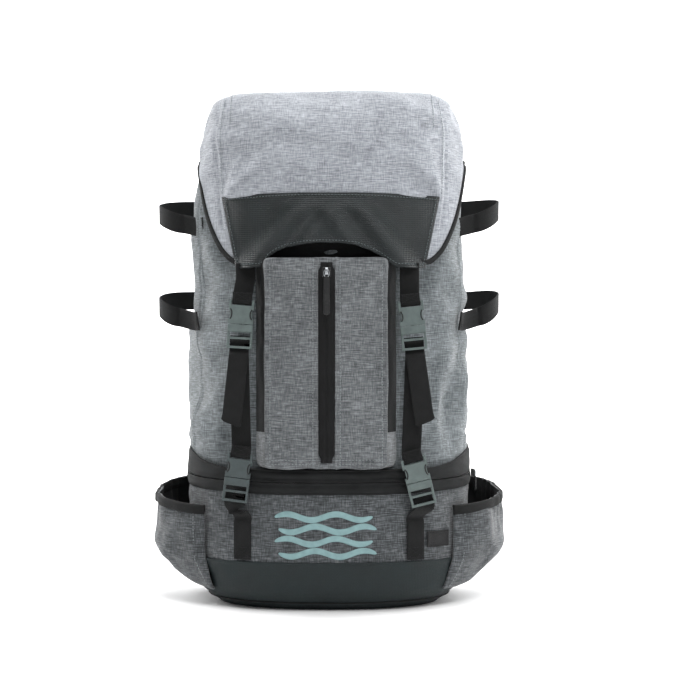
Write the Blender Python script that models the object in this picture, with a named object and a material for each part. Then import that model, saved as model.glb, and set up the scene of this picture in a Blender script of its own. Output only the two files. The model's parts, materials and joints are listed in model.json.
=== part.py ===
"""Tackle backpack with a hinged lid, a tilting tackle bay, rod loops and side-release buckles.

Metres, +Z up. The pack stands on the floor with its front towards -Y.
"""
import math

import bmesh
import bpy
from mathutils import Matrix, Vector

# Driving sizes.
GAP = 0.0003  # left between touching pieces
SKIN_GAP = 0.0009  # left between a flat-sided patch and the curved wall behind it
WALL = 0.0025
WEBBING_WIDTH = 0.020
WEBBING_THICKNESS = 0.0012
LOOP_POINTS = 48  # points round the pack's outline
FRONT_POWER = 2.4  # the front of the outline is bowed
BACK_POWER = 5.0  # the back is nearly flat
NOMINAL_OUTLINE = (0.150, 0.118, 0.090)  # half width, front depth, back depth
ACROSS = Vector((1, 0, 0))
UP = Vector((0, 0, 1))

# Heights of the seams.
BASE_SEAM = 0.051
ZIP_LOW = 0.1225
ZIP_MIDDLE = 0.1338
ZIP_TOP = 0.1450
ZIP_RISE = 0.045  # the zip climbs this much for each metre towards the back
LID_HINGE = (0.0945, 0.478)  # y, z
LID_BACK_EDGE = 0.478
TILT_HINGE_Y = 0.0945

# Outlines by height: z, half width, front depth, back depth.
LOWER_PROFILE = (
    (0.000, 0.1180, 0.0930, 0.0700),
    (0.008, 0.1310, 0.1060, 0.0800),
    (0.020, 0.1425, 0.1145, 0.0870),
    (0.050, 0.1520, 0.1195, 0.0905),
    (0.090, 0.1525, 0.1195, 0.0905),
    (0.150, 0.1515, 0.1185, 0.0895),
)
BAND_PROFILE = ((0.000, 0.1530, 0.1205, 0.0910), (0.200, 0.1530, 0.1205, 0.0910))
MAIN_PROFILE = (
    (0.140, 0.1500, 0.1080, 0.0885),
    (0.200, 0.1510, 0.1090, 0.0885),
    (0.300, 0.1480, 0.1070, 0.0885),
    (0.360, 0.1450, 0.1050, 0.0885),
    (0.400, 0.1420, 0.1030, 0.0885),
    (0.440, 0.1375, 0.0990, 0.0880),
    (0.470, 0.1330, 0.0940, 0.0875),
)
LID_PROFILE = (
    (0.360, 0.1465, 0.1190, 0.0925),
    (0.430, 0.1465, 0.1180, 0.0925),
    (0.460, 0.1460, 0.1160, 0.0925),
    (0.490, 0.1435, 0.1120, 0.0925),
    (0.520, 0.1375, 0.1055, 0.0915),
    (0.530, 0.1345, 0.0985, 0.0890),
    (0.5375, 0.1310, 0.0840, 0.0850),
    (0.543, 0.1260, 0.0590, 0.0800),
    (0.5475, 0.1160, 0.0300, 0.0720),
    (0.550, 0.0980, 0.0120, 0.0600),
)
LID_CENTRE_X = 0.003
LID_WALL = 0.003
LID_BINDING_HEIGHT = 0.005
# Height of the lid's edge by distance from the middle, along the front.
LID_EDGE = (
    (0.000, 0.386),
    (0.045, 0.386),
    (0.070, 0.374),
    (0.103, 0.362),
    (0.1185, 0.3765),
    (0.133, 0.406),
    (0.1423, 0.440),
    (0.1485, LID_BACK_EDGE),
)
# The panel on the lid's front: x along its lower edge, and the height of that edge.
PANEL_EDGE = (
    (-0.097, 0.355), (-0.084, 0.3545), (-0.070, 0.355), (-0.0665, 0.3585), (-0.0615, 0.3655),
    (-0.0545, 0.3705), (-0.0435, 0.3755), (-0.027, 0.3785), (-0.008, 0.380), (0.012, 0.3795),
    (0.028, 0.3775), (0.042, 0.3725), (0.0525, 0.3665), (0.061, 0.3605), (0.069, 0.355),
    (0.083, 0.3545), (0.100, 0.355),
)
PANEL_TOP = 0.430
PANEL_THICKNESS = 0.0016
PANEL_FLARE = 1.16  # the top edge is this much wider than the lower one

# The pocket on the front.
POCKET_X = -0.003
POCKET_Z = (0.147, 0.366)
POCKET_HALF_WIDTH = 0.063
POCKET_ROOT_HALF_WIDTH = 0.075
POCKET_FRONT_Y = -0.133
POCKET_POINTS = 36
# Depth of the pocket's front by height, met by its zip.
POCKET_LEVELS = (
    (0.147, -0.1250), (0.1547, -0.1310), (0.169, POCKET_FRONT_Y),
    (0.344, POCKET_FRONT_Y), (0.3583, -0.1310), (0.366, -0.1250),
)
FRONT_ZIP_X = -0.0025
FRONT_ZIP_WIDTH = 0.017

# Buckles. Each local frame has x across the webbing, y to the back and z up the strap.
BUCKLE_HALF_WIDTH = 0.013
BUCKLE_HALF_THICKNESS = 0.0045
BUCKLE_HALF_LENGTH = 0.025
# name: x, y, z of the middle, and the lean in degrees (positive when its lower end is to the left)
BUCKLES = {
    "upper_left": (-0.0910, -0.1130, 0.2965, 3.7),
    "upper_right": (0.0860, -0.1130, 0.2950, -5.5),
    "lower_left": (-0.0940, -0.1170, 0.1390, 7.6),
    "lower_right": (0.0920, -0.1170, 0.1350, -14.0),
}

# Side pockets, in the angle round the outline, for the right-hand one.
SIDE_POCKET_ANGLES = (-36.0, 47.0)
SIDE_POCKET_BULGE = (
    (0.018, 0.0000), (0.024, 0.0100), (0.034, 0.0200), (0.048, 0.0285),
    (0.064, 0.0330), (0.100, 0.0335), (0.130, 0.0310),
)
SIDE_POCKET_RIM = (0.106, 0.129)  # front, back
SIDE_BINDING_HEIGHT = 0.010

# Colours, roughness and metallic value.
MATERIALS = {
    "lid_cloth": ((0.34, 0.37, 0.40), 0.90, 0.0),
    "pack_cloth": ((0.24, 0.27, 0.28), 0.90, 0.0),
    "lower_cloth": ((0.16, 0.17, 0.18), 0.90, 0.0),
    "slate_panel": ((0.047, 0.058, 0.062), 0.55, 0.0),
    "base_cloth": ((0.030, 0.041, 0.045), 0.80, 0.0),
    "webbing": ((0.014, 0.015, 0.016), 0.85, 0.0),
    "zip_cloth": ((0.022, 0.025, 0.026), 0.80, 0.0),
    "buckle_plastic": ((0.155, 0.205, 0.200), 0.42, 0.0),
    "slider_metal": ((0.30, 0.32, 0.34), 0.35, 1.0),
    "stiff_board": ((0.10, 0.10, 0.10), 0.70, 0.0),
    "padding": ((0.020, 0.022, 0.024), 0.90, 0.0),
    "label_cloth": ((0.010, 0.010, 0.012), 0.85, 0.0),
}


def clear_scene():
    """Remove every object that the file opened with."""
    for obj in list(bpy.data.objects):
        bpy.data.objects.remove(obj)


def make_materials():
    """One Principled material for each entry in MATERIALS."""
    made = {}
    for name, (colour, roughness, metallic) in MATERIALS.items():
        material = bpy.data.materials.new(name)
        material.use_nodes = True
        shader = material.node_tree.nodes["Principled BSDF"]
        shader.inputs["Base Color"].default_value = (*colour, 1.0)
        shader.inputs["Roughness"].default_value = roughness
        shader.inputs["Metallic"].default_value = metallic
        made[name] = material
    return made


def interpolate(table, at):
    """The values of a table's row at a first value, in straight lines between rows."""
    if at <= table[0][0]:
        return table[0][1:]
    for low, high in zip(table, table[1:]):
        if at <= high[0]:
            share = (at - low[0]) / (high[0] - low[0])
            return tuple(a + (b - a) * share for a, b in zip(low[1:], high[1:]))
    return table[-1][1:]


def signed_power(value, power):
    """A power of the size of a value, with the value's sign."""
    return math.copysign(abs(value) ** power, value)


def outline_point(angle, half_width, front, back):
    """A point of the pack's outline: bowed at the front, nearly flat at the back."""
    across, along = math.cos(angle), math.sin(angle)
    power = FRONT_POWER if along < 0 else BACK_POWER
    depth = front if along < 0 else back
    x = signed_power(across, 2 / power) * half_width
    y = signed_power(along, 2 / power) * depth
    return x, y


def ring(profile, height, inset=0.0, centre_x=0.0):
    """A closed loop of points at a height that may depend on x and y."""
    points = []
    for step in range(LOOP_POINTS):
        angle = 2 * math.pi * step / LOOP_POINTS
        z = height(*outline_point(angle, *NOMINAL_OUTLINE))
        sizes = [size - inset for size in interpolate(profile, z)]
        x, y = outline_point(angle, *sizes)
        points.append(Vector((x + centre_x, y, z)))
    return points


def level(z):
    """A height that is the same all round."""
    return lambda x, y: z


def rising(z):
    """A height that climbs towards the back with the zip."""
    return lambda x, y: z + ZIP_RISE * (y + NOMINAL_OUTLINE[1])


def front_y(profile, x, z, centre_x=0.0):
    """The depth of the front wall at a place across it and a height."""
    half_width, front, _ = interpolate(profile, z)
    share = min(abs(x - centre_x) / half_width, 1.0)
    return -front * (1 - share**FRONT_POWER) ** (1 / FRONT_POWER)


def finish(name, bm, material, location=None):
    """Turn a bmesh into a named object with its faces outward, smooth across low angles."""
    bmesh.ops.recalc_face_normals(bm, faces=bm.faces[:])
    mesh = bpy.data.meshes.new(name)
    bm.to_mesh(mesh)
    bm.free()
    return add_object(name, mesh, material, location)


def add_object(name, mesh, material, location=None, matrix=None):
    """Link an object, with its origin moved to location while its shape stays in place."""
    mesh.materials.clear()
    mesh.materials.append(material)
    mesh.shade_smooth()
    mesh.set_sharp_from_angle(angle=math.radians(40))
    obj = bpy.data.objects.new(name, mesh)
    bpy.context.collection.objects.link(obj)
    if matrix is not None:
        obj.matrix_world = matrix
    if location is not None:
        mesh.transform(Matrix.Translation(-Vector(location)))
        obj.location = location
    return obj


def add_band(bm, low, high):
    """Four-sided faces between two closed loops of vertices."""
    count = len(low)
    for i in range(count):
        j = (i + 1) % count
        bm.faces.new((low[i], low[j], high[j], high[i]))


def vessel(name, outer, inner, material, open_both=False):
    """A hollow shell from two stacks of loops, whose first loops are its closed end."""
    bm = bmesh.new()
    outside = [[bm.verts.new(p) for p in loop] for loop in outer]
    inside = [[bm.verts.new(p) for p in loop] for loop in inner]
    for stack in (outside, inside):
        for low, high in zip(stack, stack[1:]):
            add_band(bm, low, high)
    add_band(bm, outside[-1], inside[-1])
    if open_both:
        add_band(bm, outside[0], inside[0])
    else:
        bm.faces.new(outside[0])
        bm.faces.new(inside[0])
    return finish(name, bm, material)


def plate(name, low, high, material):
    """A solid between two loops."""
    bm = bmesh.new()
    loops = [[bm.verts.new(p) for p in loop] for loop in (low, high)]
    add_band(bm, *loops)
    for loop in loops:
        bm.faces.new(loop)
    return finish(name, bm, material)


def sheet(name, rows, thickness, material, location=None, toward=None):
    """A closed solid on a grid of points, thickened toward a direction or a function of a point."""
    bm = bmesh.new()
    face = [[bm.verts.new(p) for p in row] for row in rows]
    back = [[bm.verts.new(p + toward(p) * thickness) for p in row] for row in rows]
    for grid in (face, back):
        for low, high in zip(grid, grid[1:]):
            for i in range(len(low) - 1):
                bm.faces.new((low[i], low[i + 1], high[i + 1], high[i]))
    edge = [(r, 0) for r in range(len(rows))]
    edge += [(len(rows) - 1, c) for c in range(1, len(rows[0]))]
    edge += [(r, len(rows[0]) - 1) for r in range(len(rows) - 2, -1, -1)]
    edge += [(0, c) for c in range(len(rows[0]) - 2, 0, -1)]
    for (r1, c1), (r2, c2) in zip(edge, edge[1:] + edge[:1]):
        bm.faces.new((face[r1][c1], face[r2][c2], back[r2][c2], back[r1][c1]))
    return finish(name, bm, material, location)


def toward_back(point):
    """Thicken away from the front."""
    return Vector((0, 1, 0))


def strip(name, path, across, width, thickness, material):
    """A flat strap along a path, with a direction for its width at each point."""
    bm = bmesh.new()
    sections = []
    for i, (point, side) in enumerate(zip(path, across)):
        tangent = path[min(i + 1, len(path) - 1)] - path[max(i - 1, 0)]
        normal = tangent.cross(side).normalized()
        corners = ((-1, -1), (1, -1), (1, 1), (-1, 1))
        sections.append([
            bm.verts.new(point + side * (a * width / 2) + normal * (n * thickness / 2))
            for a, n in corners
        ])
    for low, high in zip(sections, sections[1:]):
        add_band(bm, low, high)
    bm.faces.new(sections[0])
    bm.faces.new(sections[-1])
    return finish(name, bm, material)


def box(bm, low, high):
    """Add a box between two corners."""
    made = bmesh.ops.create_cube(bm, size=1.0)["verts"]
    low, high = Vector(low), Vector(high)
    size = high - low
    bmesh.ops.scale(bm, vec=size, verts=made)
    bmesh.ops.translate(bm, vec=(low + high) / 2, verts=made)


def cut_mesh(name, blocks, holes):
    """A mesh of joined blocks with box-shaped holes, made by Boolean modifiers."""
    def block_object(corners):
        bm = bmesh.new()
        box(bm, *corners)
        mesh = bpy.data.meshes.new(name)
        bm.to_mesh(mesh)
        bm.free()
        obj = bpy.data.objects.new(name + "_tool", mesh)
        bpy.context.collection.objects.link(obj)
        return obj

    body = block_object(blocks[0])
    tools = []
    steps = [(corners, "UNION") for corners in blocks[1:]]
    steps += [(corners, "DIFFERENCE") for corners in holes]
    for corners, operation in steps:
        tool = block_object(corners)
        cut = body.modifiers.new(operation, "BOOLEAN")
        cut.operation = operation
        cut.object = tool
        tools.append(tool)
    view = bpy.context.evaluated_depsgraph_get()
    mesh = bpy.data.meshes.new_from_object(body.evaluated_get(view))
    mesh.name = name
    for tool in tools + [body]:
        bpy.data.objects.remove(tool)
    return mesh


# ---------------------------------------------------------------- lower pack

def make_lower_pack(materials):
    """The base, the tackle bay's wall, its board and the lower half of the zip."""
    outer = [ring(LOWER_PROFILE, level(z)) for z in (0.0, 0.008, 0.020, BASE_SEAM)]
    inner = [ring(LOWER_PROFILE, level(z), WALL) for z in (0.004, 0.020, BASE_SEAM)]
    vessel("base_tray", outer, inner, materials["base_cloth"])

    board = [ring(LOWER_PROFILE, level(0.004), 0.006) for _ in range(2)]
    for points, z in zip(board, (0.0043, 0.0068)):
        for point in points:
            point.z = z
    plate("base_board", *board, materials["stiff_board"])

    heights = (level(BASE_SEAM + GAP), level(0.088), rising(ZIP_LOW))
    outer = [ring(LOWER_PROFILE, height) for height in heights]
    inner = [ring(LOWER_PROFILE, height, WALL) for height in heights]
    vessel("lower_shell", outer, inner, materials["lower_cloth"], open_both=True)

    heights = (rising(ZIP_LOW + GAP), rising(ZIP_MIDDLE - GAP))
    outer = [ring(BAND_PROFILE, height) for height in heights]
    inner = [ring(BAND_PROFILE, height, WALL) for height in heights]
    vessel("lower_zip_tape", outer, inner, materials["zip_cloth"], open_both=True)


def side_pocket_rows(side, low_share, high_share, rows, columns=14):
    """A grid over one side pocket, between two shares of its height."""
    first, last = (math.radians(a) for a in SIDE_POCKET_ANGLES)
    grid = []
    for r in range(rows):
        share = low_share + (high_share - low_share) * r / (rows - 1)
        row = []
        for c in range(columns):
            along = c / (columns - 1)
            rim = SIDE_POCKET_RIM[0] + (SIDE_POCKET_RIM[1] - SIDE_POCKET_RIM[0]) * along
            bottom = SIDE_POCKET_BULGE[0][0]
            z = bottom + (rim - bottom) * share
            sizes = [size + SKIN_GAP + WALL for size in interpolate(LOWER_PROFILE, z)]
            x, y = outline_point(first + (last - first) * along, *sizes)
            bulge = interpolate(SIDE_POCKET_BULGE, z)[0]
            x += bulge * math.sin(math.pi * along) ** 0.55
            row.append(Vector((side * x, y, z)))
        grid.append(row)
    return grid


def toward_axis(point):
    """Thicken towards the middle of the pack."""
    inward = Vector((-point.x, -point.y * 0.6, 0))
    return inward.normalized()


def make_side_pockets(materials):
    """An open-topped pocket on each side, with a binding on its rim."""
    low, high = SIDE_POCKET_RIM
    bound = 1 - SIDE_BINDING_HEIGHT / ((low + high) / 2 - SIDE_POCKET_BULGE[0][0])
    split = GAP / (high - SIDE_POCKET_BULGE[0][0])
    for word, side in (("left", -1), ("right", 1)):
        rows = side_pocket_rows(side, 0.0, bound - split, 8)
        sheet("side_pocket_" + word, rows, WALL, materials["pack_cloth"], toward=toward_axis)
        rows = side_pocket_rows(side, bound + split, 1.0, 2)
        sheet("pocket_binding_" + word, rows, WALL, materials["webbing"], toward=toward_axis)


def make_label(materials):
    """A small blank woven label on the lower compartment."""
    centre_x, centre_z = 0.114, 0.0735
    rows = []
    for z in (centre_z - 0.0083, centre_z + 0.0083):
        row = []
        for share in (-1.0, -0.5, 0.0, 0.5, 1.0):
            x = centre_x + 0.0118 * share
            row.append(Vector((x, front_y(LOWER_PROFILE, x, z) - SKIN_GAP - 0.0008, z)))
        rows.append(row)
    sheet("woven_label", rows, 0.0008, materials["label_cloth"], toward=toward_back)


def buckle_matrix(name):
    """Where a buckle's local frame stands."""
    x, y, z, lean = BUCKLES[name]
    return Matrix.Translation((x, y, z)) @ Matrix.Rotation(math.radians(lean), 4, "Y")


def in_buckle(name, x, y, z):
    """A point of a buckle's local frame, in the pack's frame."""
    return buckle_matrix(name) @ Vector((x, y, z))


def buckle_across(name):
    """The direction across a buckle's webbing."""
    return buckle_matrix(name).to_3x3() @ ACROSS


def make_lower_straps(materials):
    """Webbing sewn down the lower compartment and held by each lower buckle's male half."""
    for word, side in (("left", -1), ("right", 1)):
        buckle = "lower_" + word
        rows = []
        for z in (0.0535, 0.068, 0.083, 0.098):
            row = []
            for share in (-1.0, -0.33, 0.33, 1.0):
                x = side * 0.0895 + share * WEBBING_WIDTH / 2
                y = front_y(LOWER_PROFILE, x, z) - SKIN_GAP - WEBBING_THICKNESS
                row.append(Vector((x, y, z)))
            rows.append(row)
        for local_z in (-0.0272, -0.020, -0.012):
            row = []
            for share in (-1.0, -0.33, 0.33, 1.0):
                local_x = share * WEBBING_WIDTH / 2
                row.append(in_buckle(buckle, local_x, 0.0027, local_z))
            rows.append(row)
        name = "lower_strap_" + word
        sheet(name, rows, WEBBING_THICKNESS, materials["webbing"], toward=toward_back)


# ---------------------------------------------------------------- upper pack

def make_main_shell(materials):
    """The main compartment: open at the top, with a floor that divides it from the bay."""
    heights = [rising(ZIP_TOP + GAP)] + [level(z) for z in (0.20, 0.30, 0.36, 0.40, 0.44)]
    heights.append(lambda x, y: 0.468 if y > 0.02 else 0.460)
    outer = [ring(MAIN_PROFILE, height) for height in heights]
    inner = [ring(MAIN_PROFILE, height, WALL) for height in heights[1:]]
    inner.insert(0, ring(MAIN_PROFILE, rising(ZIP_TOP + 0.003), WALL))
    vessel("main_shell", outer, inner, materials["pack_cloth"])

    heights = (rising(ZIP_MIDDLE + GAP), rising(ZIP_TOP))
    outer = [ring(BAND_PROFILE, height) for height in heights]
    inner = [ring(BAND_PROFILE, height, WALL) for height in heights]
    vessel("upper_zip_tape", outer, inner, materials["zip_cloth"], open_both=True)


def pocket_loop(scale, half_width, y, inset=0.0):
    """A rounded upright rectangle at a depth that may be a function of x and z."""
    middle = sum(POCKET_Z) / 2
    half_height = (POCKET_Z[1] - POCKET_Z[0]) / 2
    points = []
    for step in range(POCKET_POINTS):
        angle = 2 * math.pi * step / POCKET_POINTS
        x = POCKET_X + signed_power(math.cos(angle), 0.30) * (half_width * scale - inset)
        z = middle + signed_power(math.sin(angle), 0.30) * (half_height * scale - inset)
        depth = y(x, z) if callable(y) else y
        points.append(Vector((x, depth, z)))
    return points


def pocket_root(x, z):
    """The depth at which the pocket meets the main shell."""
    return front_y(MAIN_PROFILE, x, z) - SKIN_GAP


def make_front_pocket(materials):
    """A padded pocket with one upright zip."""
    outer = [
        pocket_loop(0.80, POCKET_HALF_WIDTH, POCKET_FRONT_Y),
        pocket_loop(0.93, POCKET_HALF_WIDTH, -0.1310),
        pocket_loop(1.00, POCKET_HALF_WIDTH, -0.1250),
        pocket_loop(1.00, POCKET_ROOT_HALF_WIDTH, pocket_root),
    ]
    inner = [
        pocket_loop(0.80, POCKET_HALF_WIDTH, POCKET_FRONT_Y + WALL),
        pocket_loop(0.97, POCKET_HALF_WIDTH, -0.1250 + WALL / 2, WALL),
        pocket_loop(1.00, POCKET_ROOT_HALF_WIDTH, pocket_root, WALL),
    ]
    vessel("front_pocket", outer, inner, materials["pack_cloth"])

    path = []
    for z in (0.1542, 0.160, 0.169, 0.256, 0.344, 0.352, 0.3600):
        y = interpolate(POCKET_LEVELS, z)[0] - 0.0016
        path.append(Vector((FRONT_ZIP_X, y, z)))
    across = [ACROSS] * len(path)
    strip("front_zip_tape", path, across, FRONT_ZIP_WIDTH, 0.0012, materials["zip_cloth"])


def rounded_box(name, low, high, rounding, material, location=None):
    """A box with rounded edges."""
    bm = bmesh.new()
    box(bm, low, high)
    edges = bm.edges[:]
    bmesh.ops.bevel(bm, geom=edges, offset=rounding, segments=2, affect="EDGES", profile=0.5)
    return finish(name, bm, material, location)


def make_back(materials):
    """The padded back, the sheet that stiffens it and the grab handle."""
    rounded_box(
        "back_panel", (-0.118, 0.0902, 0.166), (0.118, 0.1035, 0.455), 0.005, materials["padding"]
    )
    rounded_box(
        "frame_sheet", (-0.090, 0.0798, 0.165), (0.090, 0.0823, 0.440), 0.0008,
        materials["stiff_board"],
    )
    path = []
    steps = 12
    for step in range(steps + 1):
        angle = math.pi * step / steps
        x = -0.038 * signed_power(math.cos(angle), 0.7)
        path.append(Vector((x, 0.1045 + 0.022 * math.sin(angle) ** 0.8, 0.444)))
    strip("grab_handle", path, [UP] * len(path), WEBBING_WIDTH, 0.0022, materials["webbing"])


def make_rod_loops(materials):
    """Four webbing loops on the sides that hold rods upright."""
    steps = 14
    for row, height in (("upper", 0.413), ("lower", 0.312)):
        root = interpolate(MAIN_PROFILE, height)[0] + 0.0022
        for word, side in (("left", -1), ("right", 1)):
            path = []
            for step in range(steps + 1):
                angle = math.pi * step / steps
                x = root + (0.1865 - root) * math.sin(angle) ** 0.62
                y = 0.002 - 0.030 * math.cos(angle)
                path.append(Vector((side * x, y, height + 0.22 * (y + 0.028))))
            name = "rod_loop_{}_{}".format(row, word)
            across = [UP] * len(path)
            strip(name, path, across, WEBBING_WIDTH, 0.0014, materials["webbing"])


def looped_end(buckle):
    """The end of a strap, folded back to front round a female half's top bar."""
    return [
        in_buckle(buckle, 0, y, z)
        for y, z in (
            (0.0033, 0.0300), (0.0033, 0.0235), (0.0026, 0.0209),
            (-0.0026, 0.0209), (-0.0033, 0.0235), (-0.0033, 0.0330),
        )
    ]


def make_main_straps(materials):
    """Webbing between each side's two buckles."""
    for word in ("left", "right"):
        upper, lower = "upper_" + word, "lower_" + word
        path = [in_buckle(upper, 0, 0.0033, z) for z in (-0.012, -0.019, -0.0285)]
        across = [buckle_across(upper)] * len(path)
        path += looped_end(lower)
        across += [buckle_across(lower)] * (len(path) - len(across))
        name = "main_strap_" + word
        strip(name, path, across, WEBBING_WIDTH, WEBBING_THICKNESS, materials["webbing"])


# ---------------------------------------------------------------- buckles

def female_mesh():
    """The half with the side windows. The strap folds round the bar at its top."""
    w, t, length = BUCKLE_HALF_WIDTH, BUCKLE_HALF_THICKNESS, BUCKLE_HALF_LENGTH
    blocks = [((-w, -t, GAP), (w, t, length))]
    holes = [
        ((-0.0107, -0.0028, -0.001), (0.0107, 0.0028, 0.0170)),  # channel
        ((-0.0200, -0.0028, 0.0050), (0.0200, 0.0028, 0.0150)),  # side windows
        ((-0.0106, -0.0100, 0.0193), (0.0106, 0.0100, 0.0222)),  # strap slot
        ((-0.0106, -0.0100, 0.0210), (0.0106, -0.0018, 0.0300)),  # in front of the bar
        ((-0.0106, 0.0018, 0.0210), (0.0106, 0.0100, 0.0300)),  # behind the bar
        ((-0.0200, -0.0100, 0.0056), (-0.0112, 0.0100, 0.0146)),  # thumb notches
        ((0.0112, -0.0100, 0.0056), (0.0200, 0.0100, 0.0146)),
    ]
    return cut_mesh("buckle_female", blocks, holes)


def male_mesh():
    """The half with the shoulder, the guide tongue and two strap windows."""
    w, t, length = BUCKLE_HALF_WIDTH, BUCKLE_HALF_THICKNESS, BUCKLE_HALF_LENGTH
    blocks = [
        ((-w, -t, -0.0075), (w, t, -GAP)),
        ((-w, -0.0020, -length), (w, 0.0020, -0.0070)),
        ((-0.0016, -0.0021, -0.001), (0.0016, 0.0021, 0.0115)),
    ]
    holes = [
        ((-0.0106, -0.0100, -0.0130), (0.0106, 0.0100, -0.0085)),
        ((-0.0106, -0.0100, -0.0225), (0.0106, 0.0100, -0.0155)),
    ]
    return cut_mesh("buckle_male", blocks, holes)


def prong_mesh(side):
    """One springy arm, with the barb that shows in the side window."""
    outline = (
        (0.0050, 0.0), (0.0075, 0.0), (0.0078, 0.0048), (0.0103, 0.0062),
        (0.0103, 0.0110), (0.0080, 0.0158), (0.0060, 0.0158), (0.0050, 0.0100),
    )
    bm = bmesh.new()
    loops = [
        [bm.verts.new((side * x, y, z)) for x, z in outline] for y in (-0.0024, 0.0024)
    ]
    add_band(bm, *loops)
    for loop in loops:
        bm.faces.new(loop)
    bmesh.ops.recalc_face_normals(bm, faces=bm.faces[:])
    mesh = bpy.data.meshes.new("buckle_prong")
    bm.to_mesh(mesh)
    bm.free()
    return mesh


def make_buckles(materials):
    """Each buckle: a female half, a male half and the male half's two prongs."""
    meshes = {"female": female_mesh(), "male": male_mesh()}
    meshes.update({"prong_left": prong_mesh(-1), "prong_right": prong_mesh(1)})
    for buckle in BUCKLES:
        for half, mesh in meshes.items():
            name = "{}_{}".format(buckle, half)
            matrix = buckle_matrix(buckle)
            add_object(name, mesh.copy(), materials["buckle_plastic"], matrix=matrix)


def make_strap_tails(materials):
    """The loose ends that hang in front of the upper buckles' male halves."""
    ends = {"left": (-0.1005, 0.191), "right": (0.0985, 0.192)}
    for word, (end_x, end_z) in ends.items():
        buckle = "upper_" + word
        path = [in_buckle(buckle, 0, y, z) for y, z in ((-0.0031, -0.010), (-0.0031, -0.0245))]
        start = path[-1]
        for share in (0.3, 0.65, 1.0):
            x = start.x + (end_x - start.x) * share
            z = start.z + (end_z - start.z) * share
            path.append(Vector((x, start.y - 0.007 * share, z)))
        name = "strap_tail_" + word
        across = [buckle_across(buckle)] * len(path)
        strip(name, path, across, WEBBING_WIDTH, WEBBING_THICKNESS, materials["webbing"])


# ---------------------------------------------------------------- zips

def make_front_slider(materials):
    """The front zip's slider and the pull tab that hangs from it."""
    x = FRONT_ZIP_X
    rounded_box(
        "front_zip_slider", (x - 0.0045, -0.1392, 0.3440), (x + 0.0045, -0.1356, 0.3540),
        0.0008, materials["slider_metal"], (x, -0.1374, 0.3490),
    )
    rounded_box(
        "front_zip_pull", (x - 0.0035, -0.1411, 0.3050), (x + 0.0035, -0.1396, 0.3512),
        0.0004, materials["webbing"], (x, -0.1404, 0.3505),
    )


def make_lower_slider(materials):
    """The tackle bay's zip slider, on the right, with its pull tab."""
    rounded_box(
        "lower_zip_slider", (0.1535, -0.0350, 0.1340), (0.1570, -0.0250, 0.1420),
        0.0008, materials["slider_metal"], (0.1550, -0.0300, 0.1380),
    )
    rounded_box(
        "lower_zip_pull", (0.1574, -0.0335, 0.1180), (0.1589, -0.0265, 0.1406),
        0.0004, materials["webbing"], (0.1581, -0.0300, 0.1400),
    )


# ---------------------------------------------------------------- straps that carry the pack

def make_shoulder_straps(materials):
    """Two padded straps with ladder locks, and the webbing that adjusts them."""
    thickness = 0.009
    for word, side in (("left", -1), ("right", 1)):
        centre = ((0.066, 0.1125, 0.452), (0.068, 0.1135, 0.410), (0.074, 0.1165, 0.350),
                  (0.083, 0.1195, 0.290), (0.092, 0.1210, 0.245))
        widths = (0.050, 0.056, 0.056, 0.052, 0.040)
        rows = []
        for (x, y, z), width in zip(centre, widths):
            rows.append([
                Vector((side * (x + share * width / 2), y - thickness / 2, z))
                for share in (-1.0, 1.0)
            ])
        sheet(
            "shoulder_strap_" + word, rows, thickness, materials["padding"],
            location=(side * 0.066, 0.1125, 0.452), toward=toward_back,
        )
        middle = Vector((side * 0.0965, 0.1210, 0.2300))
        make_ladder_lock("ladder_lock_" + word, middle, materials["buckle_plastic"])
        path = [
            Vector((side * 0.1200, 0.1060, 0.1750)), Vector((side * 0.1140, 0.1120, 0.1900)),
            Vector((side * 0.1010, 0.1250, 0.2120)), Vector((side * 0.0965, 0.1262, 0.2240)),
            Vector((side * 0.0965, 0.1262, 0.2300)),
        ]
        name = "shoulder_webbing_" + word
        across = [ACROSS] * len(path)
        strip(name, path, across, WEBBING_WIDTH, WEBBING_THICKNESS, materials["webbing"])


def make_ladder_lock(name, middle, material):
    """A flat frame with two bars, below a shoulder strap."""
    blocks = [((-0.014, -0.0025, -0.0115), (0.014, 0.0025, 0.0115))]
    holes = [
        ((-0.0108, -0.0100, 0.0015), (0.0108, 0.0100, 0.0080)),
        ((-0.0108, -0.0100, -0.0085), (0.0108, 0.0100, -0.0020)),
    ]
    add_object(name, cut_mesh(name, blocks, holes), material, matrix=Matrix.Translation(middle))


# ---------------------------------------------------------------- lid

def lid_edge(x, y):
    """The height of the lid's edge: level at the back, slanting down along the front."""
    if y >= 0:
        return LID_BACK_EDGE
    return interpolate(LID_EDGE, abs(x))[0]


def lid_ring(share, inset=0.0):
    """A loop part of the way from the lid's edge to the start of its top."""
    top = 0.520
    height = lambda x, y: lid_edge(x, y) + (top - lid_edge(x, y)) * share
    return ring(LID_PROFILE, height, inset, LID_CENTRE_X)


def lid_top_ring(z, inset=0.0):
    """A level loop of the lid's top, lowered by its wall on the inside."""
    points = ring(LID_PROFILE, level(z), inset, LID_CENTRE_X)
    for point in points:
        point.z -= inset
    return points


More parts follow.
